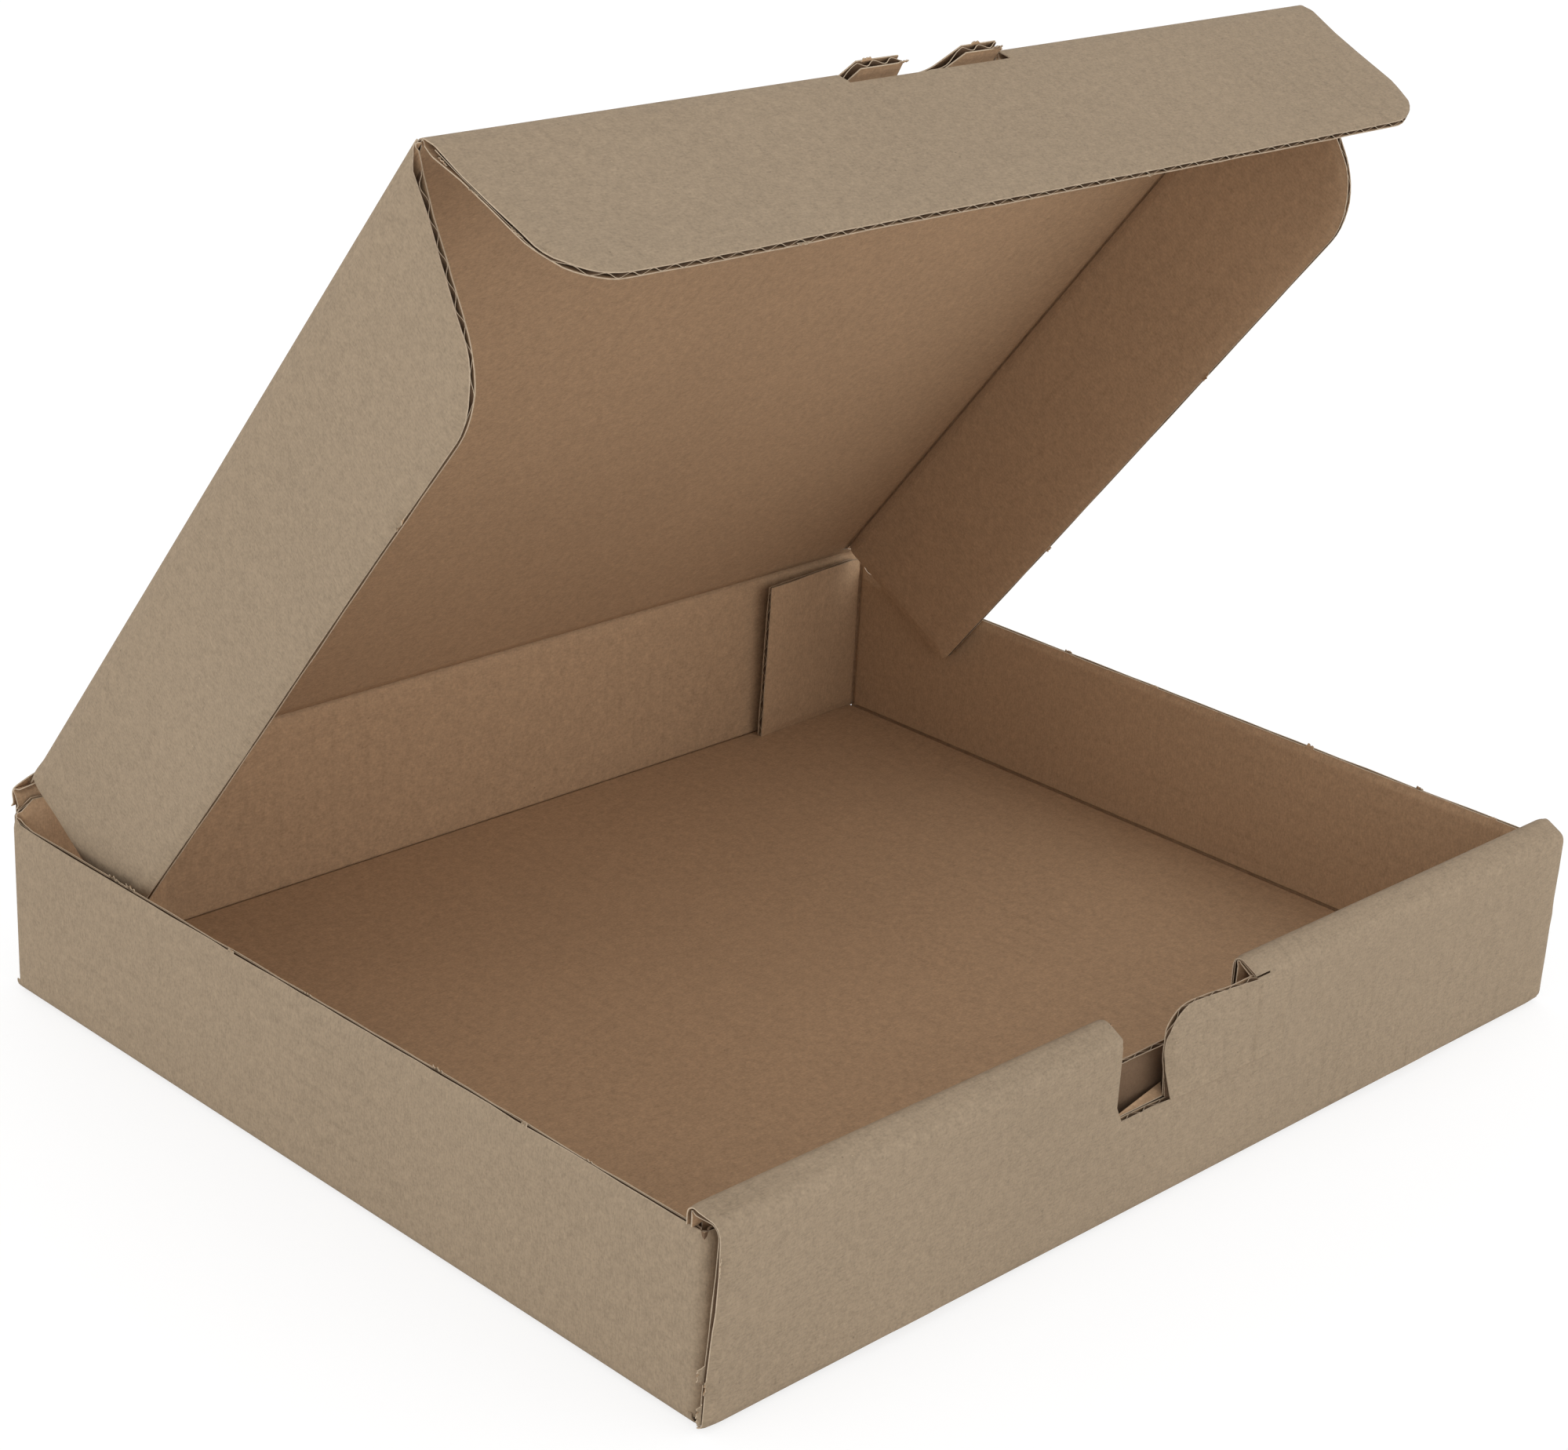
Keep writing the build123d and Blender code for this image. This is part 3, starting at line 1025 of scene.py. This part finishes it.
def add_tray_strip(target, board, tray):
    """Adds the tray's long strip with its folds, openings and torn edges."""
    strip = TrayStrip(board, tray)
    path = strip.path
    pressed = [
        (path.middle(fold), (end - start) / 2 + board.groove_width, loss)
        for fold, ((start, end), loss) in enumerate(zip(path.folds, (board.press, 0.2, 0.3, 0.3)))
    ]
    # Painted shade: behind the lock's notch the inner panel's liner takes the fluted paper's deeper brown,
    # standing in for the shade there.
    painted_shade_half = 1.2 * tray.lock_half
    cut = FlatCut(
        strip.outline(), path, windows=strip.windows(), joined=strip.joined(), lines=strip.lines(),
        grooves=[path.middle(3)], groove=1.4, pressed=pressed, crush=1.0, lift=strip.lift,
        keep=strip.keep, painted_shade_window=(0, path.at(0, tray.lock_inner_edge), -painted_shade_half, painted_shade_half),
    )
    bend = lengthwise(path)
    add_board(target, cut, bend, board)
    add_scraps(target, strip.scraps(), bend, board, strip.sprung_end)
    add_notch_lip(target, strip, bend)


def add_notch_lip(target, strip, bend):
    """The inner liner below the notch, bent in so that it shows as a lit sliver that widens to the right."""
    board, tray = strip.board, strip.tray
    sheet = bmesh.new()
    bmesh.ops.create_grid(sheet, x_segments=4, y_segments=10, size=0.5)
    thicken(sheet, 0, board.liner, INNER)
    for vert in sheet.verts:
        inward, across = vert.co.x + 0.5, vert.co.y + 0.5
        width = tray.notch_right + tray.lock_half - board.liner
        reach = tray.lip * (0.08 + 0.92 * across) * inward
        vert.co.x = strip.notch_along - vert.co.z - 0.35 * reach * inward
        vert.co.y = -tray.lock_half + width * across + reach
        vert.co.z = board.liner - board.thickness / 2 - reach
    flat_map(sheet, 1)
    for vert in sheet.verts:
        vert.co = bend(*vert.co)
    add_layer(target, sheet)


def add_tongue(target, board, tray):
    """The tongue beside the notch, pushed in a little at its top."""
    plan = TrayPlan(board, tray)
    path = SectionPath(((plan.front_y, tray.tongue_top), (plan.front_y, tray.notch_bottom)))
    tip = tray.notch_right - tray.tongue_lean
    foot = path.length
    outline = [(foot, tray.notch_right), (0, tip), (0, tray.lock_half), (foot, tray.lock_half)]

    def lift(along, across):
        free = smooth_step((tray.lock_half - across) / tray.lock_half)
        crease = TONGUE_CREASE * bump((foot - along) / plan.crease_half)
        crease *= smooth_step((across - tray.notch_right) / tray.crease_ease)
        return crease - tray.tongue_back * free * (1 - along / foot)

    cut = FlatCut(
        outline, rounds=[(1, tray.tongue_round)], joined=[(outline[3], outline[0]), (outline[2], outline[3])],
        lines=[(0, foot - board.groove_width * step) for step in (0.4, 0.8, 1.2)], crush=1.3, lift=lift,
    )
    add_board(target, cut, lengthwise(path), board)


class SideWall:
    """One side wall with its two corner flaps, as one board round the corners."""

    def __init__(self, board, tray, side):
        self.board, self.tray, self.side = board, tray, side
        self.plan = plan = TrayPlan(board, tray)
        flap_end = plan.wall_x - tray.corner_flap
        self.path = SectionPath(
            (
                (flap_end, -plan.flap_y), (plan.wall_x, -plan.flap_y), (plan.wall_x, plan.flap_y),
                (flap_end, plan.flap_y - tray.flap_spring),
            ),
            tray.corner_radius, board.fold_radius,
        )
        self.start, self.end = self.path.folds[0][1], self.path.folds[1][0]
        self.flap_start = self.path.folds[1][1]

    def outline(self):
        tray, path, foot = self.tray, self.path, self.plan.wall_foot
        rise = self.flap_start + self.board.thickness
        flap_foot, dip, ease = foot - tray.flap_drop, foot - 2 * tray.flap_drop, self.board.thickness / 2
        corner = tray.right_rise if self.side > 0 else tray.left_rise
        return [
            (0, flap_foot), (path.folds[0][0] - ease, flap_foot), (path.middle(0), dip),
            (self.start + ease, foot), (self.end - ease, foot), (path.middle(1), dip),
            (self.flap_start + ease, flap_foot), (path.length, flap_foot), (path.length, tray.flap_top),
            (rise, tray.flap_top), (path.middle(1), tray.wall_height + corner),
            (self.end - ease, tray.wall_height + corner / 4), (self.end - 4 * ease, tray.wall_height),
            (0, tray.wall_height),
        ]

    def lift(self, along, across):
        tray, side = self.tray, self.side
        up = (across - self.plan.wall_foot) / (tray.wall_height - self.plan.wall_foot)
        slow = noise.noise(Vector((along * WALL_CHANGE, 5.2, side * 3)))
        quick = noise.noise(Vector((along * WALL_QUICK_CHANGE, 2.2, side))) / 4
        inside = smooth_step((along - self.start) / tray.corner_flap)
        inside *= smooth_step((self.end - along) / tray.corner_flap)
        leaning = smooth_step((along - self.flap_start) / tray.corner_flap)
        return 2 * self.board.ripple * (slow + quick) * up * inside - tray.flap_lean * leaning * up

    def at_y(self, y):
        """Length along the board of a place on the straight wall."""
        return self.path.at(1, y + self.plan.flap_y)

    def scraps(self):
        """Torn paper along the wall's top, some on each liner."""
        half, top = self.plan.half, self.tray.wall_height
        places = ((0.107, 0.0050, 0.0013, -1), (0.098, 0.0035, 0.0016, -1), (0.044, 0.0030, 0.0008, 1),
                  (0.008, 0.0040, 0.0007, -1), (-0.052, 0.0035, 0.0013, -1), (-0.091, 0.0025, 0.0011, 1),
                  (-0.117, 0.0030, 0.0007, -1))
        return [
            Scrap(self.at_y(y if self.side > 0 else y * 0.83), top - 0.0002, (0, 1), width, reach,
                  face * half * 0.45, -face * reach * 0.5)
            for y, width, reach, face in places
        ]


def add_side_wall(target, board, tray, side):
    """One side wall: its fold along the floor, and the wall itself with its two corner flaps."""
    plan = TrayPlan(board, tray)
    fold = SectionPath(
        ((plan.floor_half, plan.half), (plan.wall_x, plan.half), (plan.wall_x, plan.wall_foot)),
        board.fold_radius,
    )
    rear = plan.flap_y - board.fold_radius / 4
    outline = [(0, -plan.flap_y), (0, plan.flap_y), (fold.length, rear), (fold.length, -plan.flap_y)]
    cut = FlatCut(
        outline, fold, grooves=[fold.middle(0)], groove=2.0, fluted_across=True,
        joined=[(outline[0], outline[1]), (outline[2], outline[3])],
    )
    add_board(target, cut, sideways(fold, side), board)

    wall = SideWall(board, tray, side)
    foot = plan.wall_foot
    pressed = [
        (wall.path.middle(i), (end - start) / 2 + board.groove_width, 0.25)
        for i, (start, end) in enumerate(wall.path.folds)
    ]
    cut = FlatCut(
        wall.outline(), wall.path, joined=[((wall.start, foot), (wall.end, foot))], pressed=pressed,
        crush=1.0, grooves=[wall.path.middle(0), wall.path.middle(1)], groove=1.5, lift=wall.lift,
    )
    bend = around(wall.path, side)
    add_board(target, cut, bend, board)
    add_scraps(target, wall.scraps(), bend, board, wall.lift)


class BOX_OT_tray(bpy.types.Operator):
    """Build the tray: floor, walls, corner flaps, roll-over front wall and tongue"""

    bl_idname = "cake_box.tray"
    bl_label = "Tray"

    def execute(self, context):
        board, tray = context.scene.cake_box.board, context.scene.cake_box.tray
        made = bmesh.new()
        add_tray_strip(made, board, tray)
        add_tongue(made, board, tray)
        for side in (-1, 1):
            add_side_wall(made, board, tray, side)
        piece = finish_piece(made, "tray_board")
        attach(piece, "tray")
        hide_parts("tray")
        return {"FINISHED"}


# Lid

class BOX_OT_lid(bpy.types.Operator):
    """Build the lid panel with its two lock tabs"""

    bl_idname = "cake_box.lid"
    bl_label = "Lid panel"

    def execute(self, context):
        board, lid = context.scene.cake_box.board, context.scene.cake_box.lid
        path = SectionPath((LID_HINGE.yz, FRONT_FOLD.yz))
        rear, front = board.crease_reach, LID_LENGTH - board.crease_reach
        half = SIDE_FOLD_X - board.crease_reach
        tip, notch = LID_LENGTH + lid.tab_reach, LID_LENGTH - lid.notch_depth
        left, right = lid.left_tab, lid.right_tab
        outline = [
            (rear, -half), (front, -half), (front, left[0]), (tip, left[0] + lid.left_tab_slant),
            (tip, left[1] - lid.left_tab_taper), (notch, left[1]), (notch, right[0]),
            (tip, right[0] + lid.right_tab_slant), (tip, right[1] - lid.right_tab_taper), (front, right[1]),
            (front, half), (rear, half),
        ]
        cut = FlatCut(
            outline, rounds=[(6, 0.003)], lift=ripples(5.7, board, rear, front, -half, half), crush=0.3,
            joined=[(outline[i], outline[(i + 1) % 12]) for i in (0, 1, 9, 10, 11)],
        )
        inner = -board.thickness / 2
        scraps = [
            Scrap(tip, left[1] - 0.0022, (1, 0), 0.003, 0.0011, inner * 0.8, -0.0005),
            Scrap(tip, left[0] + 0.0075, (1, 0), 0.004, 0.0007, -inner * 0.5, 0.0004),
            Scrap(tip, right[1] - 0.0025, (1, 0), 0.003, 0.0012, inner * 0.7, -0.0006),
            Scrap(tip, right[0] + 0.0115, (1, 0), 0.0035, 0.0008, -inner * 0.6, 0.0003),
            Scrap(tip - 0.002, right[1] - 0.0007, (0, 1), 0.003, 0.0013, inner * 0.3, -0.0004),
        ]
        made = bmesh.new()
        bend = lengthwise(path)
        add_board(made, cut, bend, board)
        add_scraps(made, scraps, bend, board)
        piece = finish_piece(made, "lid_panel")
        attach(piece, "lid")
        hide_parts("lid")
        return {"FINISHED"}


def side_fold(lid):
    """Fold point and heading of the left side flap, in X and the lid's height."""
    fold = Vector((-SIDE_FOLD_X, 0))
    heading = Vector((-math.cos(lid.side_angle), -math.sin(lid.side_angle)))
    return fold, heading


class BOX_OT_side_flaps(bpy.types.Operator):
    """Build the lid's left and right flaps"""

    bl_idname = "cake_box.side_flaps"
    bl_label = "Side flaps"

    def execute(self, context):
        board, lid = context.scene.cake_box.board, context.scene.cake_box.lid
        fold, heading = side_fold(lid)
        width, near = lid.flap_width, board.crease_reach
        path = SectionPath((fold, fold + heading * width))
        front = LID_LENGTH - lid.side_front
        outline = [
            (near, lid.side_rear), (width, lid.side_rear + lid.side_rear_slant),
            (width, front - lid.side_slant), (near, front - lid.side_slant * near / width),
        ]
        scraps = [
            Scrap(width - 0.0002, 0.196, (1, 0), 0.006, 0.0012, 0.0006, 0.0012),
            Scrap(width - 0.0002, 0.163, (1, 0), 0.0035, 0.0010, -0.0006, -0.0008),
            Scrap(width - 0.0002, 0.074, (1, 0), 0.003, 0.0008, 0.0004, 0.0005),
        ]
        for name, side, body in FLAP_SIDES:
            cut = FlatCut(
                outline, rounds=[(1, lid.side_rear_round), (2, lid.side_round)],
                joined=[(outline[3], outline[0])], fluted_across=True, crush=1.0,
                lift=ripples(2.3 * side, board, near, 2 * width, lid.side_rear, front),
            )
            made = bmesh.new()
            bend = along_lid(path, side)
            add_board(made, cut, bend, board)
            add_scraps(made, scraps[:1] if side > 0 else scraps[1:], bend, board)
            piece = finish_piece(made, name + "_flap_board")
            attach(piece, body)
            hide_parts("lid_" + name + "_flap")
        return {"FINISHED"}


def front_heading(lid):
    """Direction of the front flap in Y and Z."""
    run, top = LID_RUN.yz, LID_TOP.yz
    return run * math.cos(lid.front_angle) - top * math.sin(lid.front_angle)


class BOX_OT_front_flap(bpy.types.Operator):
    """Build the lid's front tuck flap"""

    bl_idname = "cake_box.front_flap"
    bl_label = "Front flap"

    def execute(self, context):
        board, lid = context.scene.cake_box.board, context.scene.cake_box.lid
        fold = FRONT_FOLD.yz
        path = SectionPath((fold, fold + front_heading(lid) * lid.flap_width))
        half = SIDE_FOLD_X - lid.front_gap
        near = board.crease_reach
        tapered = half - lid.front_taper
        outline = [(near, -half), (near, half), (lid.flap_width, tapered), (lid.flap_width, -tapered)]
        cut = FlatCut(
            outline, rounds=[(2, lid.front_round), (3, lid.front_round)], joined=[(outline[0], outline[1])],
            crush=1.0, lift=ripples(9.2, board, near, 2 * lid.flap_width, -half, half),
        )
        inner = -board.thickness / 2
        scraps = [
            Scrap(0.0185, -half + 0.0007, (0, -1), 0.003, 0.0009, inner * 0.3, 0.0002),
            Scrap(0.0335, -half + 0.0012, (0, -1), 0.004, 0.0010, inner * 0.2, 0.0003),
            Scrap(0.0415, -half + 0.0036, (0.6, -0.8), 0.004, 0.0009, -inner * 0.2, 0.0004),
            Scrap(0.0075, -half + 0.0004, (0, -1), 0.003, 0.0008, inner * 0.4, 0.0005),
            Scrap(lid.flap_width - 0.0002, -0.085, (1, 0), 0.004, 0.0006, inner * 0.6, -0.0003),
            Scrap(lid.flap_width - 0.0002, 0.036, (1, 0), 0.003, 0.0006, inner * 0.6, -0.0003),
        ]
        made = bmesh.new()
        bend = lengthwise(path)
        add_board(made, cut, bend, board)
        add_scraps(made, scraps, bend, board)
        piece = finish_piece(made, "front_flap_board")
        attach(piece, "front_flap")
        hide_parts("lid_front_flap")
        return {"FINISHED"}


# Creases at the folds of the lid and its flaps

def crease_cut(path, outline, board, rounds=(), lift=None):
    """A crease's two liners, pressed together in the fold."""
    middle = path.middle(0)
    return FlatCut(
        outline, path, rounds=rounds, has_flutes=False, lift=lift, grooves=[middle], groove=1.3,
        pressed=[(middle, path.length / 2, board.press)],
    )


def add_rear_crease(made, board, tray):
    """The crease between the rear wall and the lid, with its crumpled ends."""
    plan = TrayPlan(board, tray)
    reach = board.crease_reach
    hinge, run = LID_HINGE.yz, LID_RUN.yz
    path = SectionPath((hinge - Vector((0, reach)), hinge, hinge + run * reach), board.tight_radius)
    left, right, narrow = -plan.ears[-1], plan.ears[1], SIDE_FOLD_X - reach / 4
    middle, end = path.middle(0), path.length
    outline = [(0, left), (0, right), (middle, right), (end, narrow), (end, -narrow), (middle, left)]

    def lift(along, across):
        return ear_crumple(tray, plan, middle - along, across)

    cut = crease_cut(path, outline, board, rounds=[(2, 0.003), (5, 0.003)], lift=lift)
    cut.lines = [(1, side * (narrow + (right - narrow) * step / 6)) for side in (-1, 1) for step in range(6)]
    add_board(made, cut, lengthwise(path), board)
    return hinge - Vector((0, reach)), hinge + run * reach


def add_side_crease(made, board, lid, side):
    """The crease between the lid and a side flap, with its rear end crumpled out."""
    reach = board.crease_reach
    fold, heading = side_fold(lid)
    path = SectionPath((fold + Vector((reach, 0)), fold, fold + heading * reach), board.tight_radius)
    middle, end = path.middle(0), path.length
    front = LID_LENGTH - lid.side_front - lid.side_slant * reach / lid.flap_width
    corner = path.folds[0][0] + board.liner
    outline = [
        (0, reach), (middle, reach), (middle, lid.side_rear / 3), (middle + board.liner, lid.side_rear / 3),
        (middle + 3 * board.liner, lid.side_rear), (end, lid.side_rear), (end, front),
        (corner, LID_LENGTH - board.liner), (corner, LID_LENGTH - reach), (0, LID_LENGTH - reach),
    ]

    def lift(along, across):
        at_rear = bump((across - 1.3 * lid.side_rear) / lid.side_rear)
        return lid.side_lobe * at_rear * bump((along - 0.62 * end) / (0.38 * end))

    cut = crease_cut(path, outline, board, lift=lift)
    cut.lines = [(1, lid.side_rear * step / 4) for step in range(2, 10)]
    bend = along_lid(path, side)
    add_board(made, cut, bend, board)
    return bend(0, LID_LENGTH / 2, 0), bend(end, LID_LENGTH / 2, 0)


def add_front_crease(made, board, lid):
    """The crease between the lid and the front flap, left and right of the lock tabs."""
    reach = board.crease_reach
    fold, heading, run = FRONT_FOLD.yz, front_heading(lid), LID_RUN.yz
    path = SectionPath((fold - run * reach, fold, fold + heading * reach), board.tight_radius)
    half = SIDE_FOLD_X - lid.front_gap
    bend = lengthwise(path)
    for low, high in ((-half, lid.left_tab[0] - lid.tab_margin), (lid.right_tab[1] + lid.tab_margin, half)):
        outline = [(0, low), (0, high), (path.length, high), (path.length, low)]
        add_board(made, crease_cut(path, outline, board), bend, board)
    return bend(0, 0, 0), bend(path.length, 0, 0)


class BOX_OT_creases(bpy.types.Operator):
    """Build the creases that the lid and its flaps turn on"""

    bl_idname = "cake_box.creases"
    bl_label = "Creases"

    def execute(self, context):
        settings = context.scene.cake_box
        board, lid = settings.board, settings.lid

        made = bmesh.new()
        start, end = add_rear_crease(made, board, settings.tray)
        piece = finish_piece(made, "rear_crease")
        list(start)
        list(end)
        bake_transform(piece)

        for name, side, body in FLAP_SIDES:
            made = bmesh.new()
            start, end = add_side_crease(made, board, lid, side)
            piece = finish_piece(made, name + "_crease")
            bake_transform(piece)
            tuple(start)
            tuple(end)

        made = bmesh.new()
        start, end = add_front_crease(made, board, lid)
        piece = finish_piece(made, "front_crease")
        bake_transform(piece)
        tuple(start)
        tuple(end)
        return {"FINISHED"}


# Stage

class BOX_OT_stage(bpy.types.Operator):
    """Set the floor, the light and the camera"""

    bl_idname = "cake_box.stage"
    bl_label = "Stage"

    def execute(self, context):
        stage = context.scene.cake_box.stage
        context.scene.view_settings.view_transform = "Standard"
        self.floor(context)
        self.sky(context, stage)
        self.lamp(context, "soft_key", stage.key_size, stage.key, stage.key_place)
        self.lamp(context, "soft_fill", stage.fill_size, stage.fill, stage.fill_place)
        self.camera(context, stage)
        return {"FINISHED"}

    def floor(self, context):
        """A pale floor that the camera sees nearly white, with the box's soft shadow on it."""
        made = bmesh.new()
        bmesh.ops.create_grid(made, x_segments=8, y_segments=8, size=6)
        mesh = bpy.data.meshes.new("studio_floor")
        made.to_mesh(mesh)
        made.free()
        floor = bpy.data.objects.new("studio_floor", mesh)
        context.scene.collection.objects.link(floor)
        material = bpy.data.materials.new("pale_floor")
        finish = Finish(material, "Principled BSDF")
        base = tuple(context.scene.cake_box.finish.floor)
        rays = finish.node("ShaderNodeLightPath").outputs
        seen = Value(finish, rays["Is Camera Ray"]) + Value(finish, rays["Is Glossy Ray"])
        seen = seen + Value(finish, rays["Is Transmission Ray"])
        seen_tint, seen_glow = 0.34, (0.75, 0.75, 0.75, 1)
        base_colour = finish.mix(seen, tinted(base, 1), tinted(base, seen_tint))
        finish.feed(finish.shader.inputs["Base Color"], base_colour)
        finish.feed(finish.shader.inputs["Emission Color"], finish.mix(seen, (0, 0, 0, 1), seen_glow))
        finish.shader.inputs["Emission Strength"].default_value = 1
        finish.shader.inputs["Roughness"].default_value = 0.9
        finish.shader.inputs["Specular IOR Level"].default_value = 0.1
        mesh.materials.append(material)

    def sky(self, context, stage):
        """An even white sky, a little weaker towards the zenith."""
        world = bpy.data.worlds.new("studio_sky")
        sky = Finish(world, "Background")
        ray = sky.node("ShaderNodeTexCoord").outputs["Generated"]
        height = Value(sky, sky.node("ShaderNodeSeparateXYZ", {}, {"Vector": ray}).outputs["Z"]).at_least(0)
        sky.feed(sky.shader.inputs["Color"], (1, 1, 1, 1))
        sky.feed(sky.shader.inputs["Strength"], stage.horizon + height * (stage.zenith - stage.horizon))
        context.scene.world = world

    def lamp(self, context, name, size, energy, where):
        """A round soft lamp that faces the box."""
        lamp = bpy.data.lights.new(name, "AREA")
        lamp.shape = "DISK"
        lamp.size = size
        lamp.energy = energy
        light = bpy.data.objects.new(name, lamp)
        light.location = where
        light.rotation_euler = (Vector((0, 0, 0.1)) - light.location).to_track_quat("-Z", "Y").to_euler()
        context.scene.collection.objects.link(light)

    def camera(self, context, stage):
        data = bpy.data.cameras.new("photo_camera")
        data.sensor_width = 36
        data.lens = stage.focal / stage.image_width * data.sensor_width
        data.clip_start, data.clip_end = 0.01, 50
        camera = bpy.data.objects.new("photo_camera", data)
        level = Vector((-math.sin(stage.yaw), math.cos(stage.yaw), 0))
        ahead = level * math.cos(stage.pitch) - Vector((0, 0, math.sin(stage.pitch)))
        right = Vector((math.cos(stage.yaw), math.sin(stage.yaw), 0))
        up = right.cross(ahead)
        rolled_right = right * math.cos(stage.roll) + up * math.sin(stage.roll)
        rolled_up = up * math.cos(stage.roll) - right * math.sin(stage.roll)
        turn = Matrix((rolled_right, rolled_up, -ahead)).transposed()
        camera.matrix_world = Matrix.LocRotScale(Vector(stage.position), turn.to_quaternion(), None)
        context.scene.collection.objects.link(camera)
        context.scene.camera = camera


class BOX_PT_panel(bpy.types.Panel):
    """Sidebar panel with the settings and the steps"""

    bl_idname = "BOX_PT_panel"
    bl_label = "Cake box"
    bl_space_type = "VIEW_3D"
    bl_region_type = "UI"
    bl_category = "Cake box"

    def draw(self, context):
        settings = context.scene.cake_box
        for group in (settings.board, settings.tray, settings.lid, settings.finish, settings.stage):
            box = self.layout.box()
            for name in group.__annotations__:
                box.prop(group, name)
        for step in STEPS:
            self.layout.operator(step.bl_idname)


STEPS = (BOX_OT_tray, BOX_OT_lid, BOX_OT_side_flaps, BOX_OT_front_flap, BOX_OT_creases, BOX_OT_stage)
GROUPS = (BoxBoard, BoxTray, BoxLid, BoxFinish, BoxStage, BoxSettings)


def register():
    for part in (*GROUPS, *STEPS, BOX_PT_panel):
        bpy.utils.register_class(part)
    bpy.types.Scene.cake_box = bpy.props.PointerProperty(
        type=BoxSettings, name="Cake box", description="Sizes and colours of the cake box"
    )


def unregister():
    del bpy.types.Scene.cake_box
    for part in reversed((*GROUPS, *STEPS, BOX_PT_panel)):
        bpy.utils.unregister_class(part)


def main():
    register()
    bpy.ops.cake_box.tray()
    bpy.ops.cake_box.lid()
    bpy.ops.cake_box.side_flaps()
    bpy.ops.cake_box.front_flap()
    bpy.ops.cake_box.creases()
    bpy.ops.cake_box.stage()


if __name__ == "__main__":
    main()
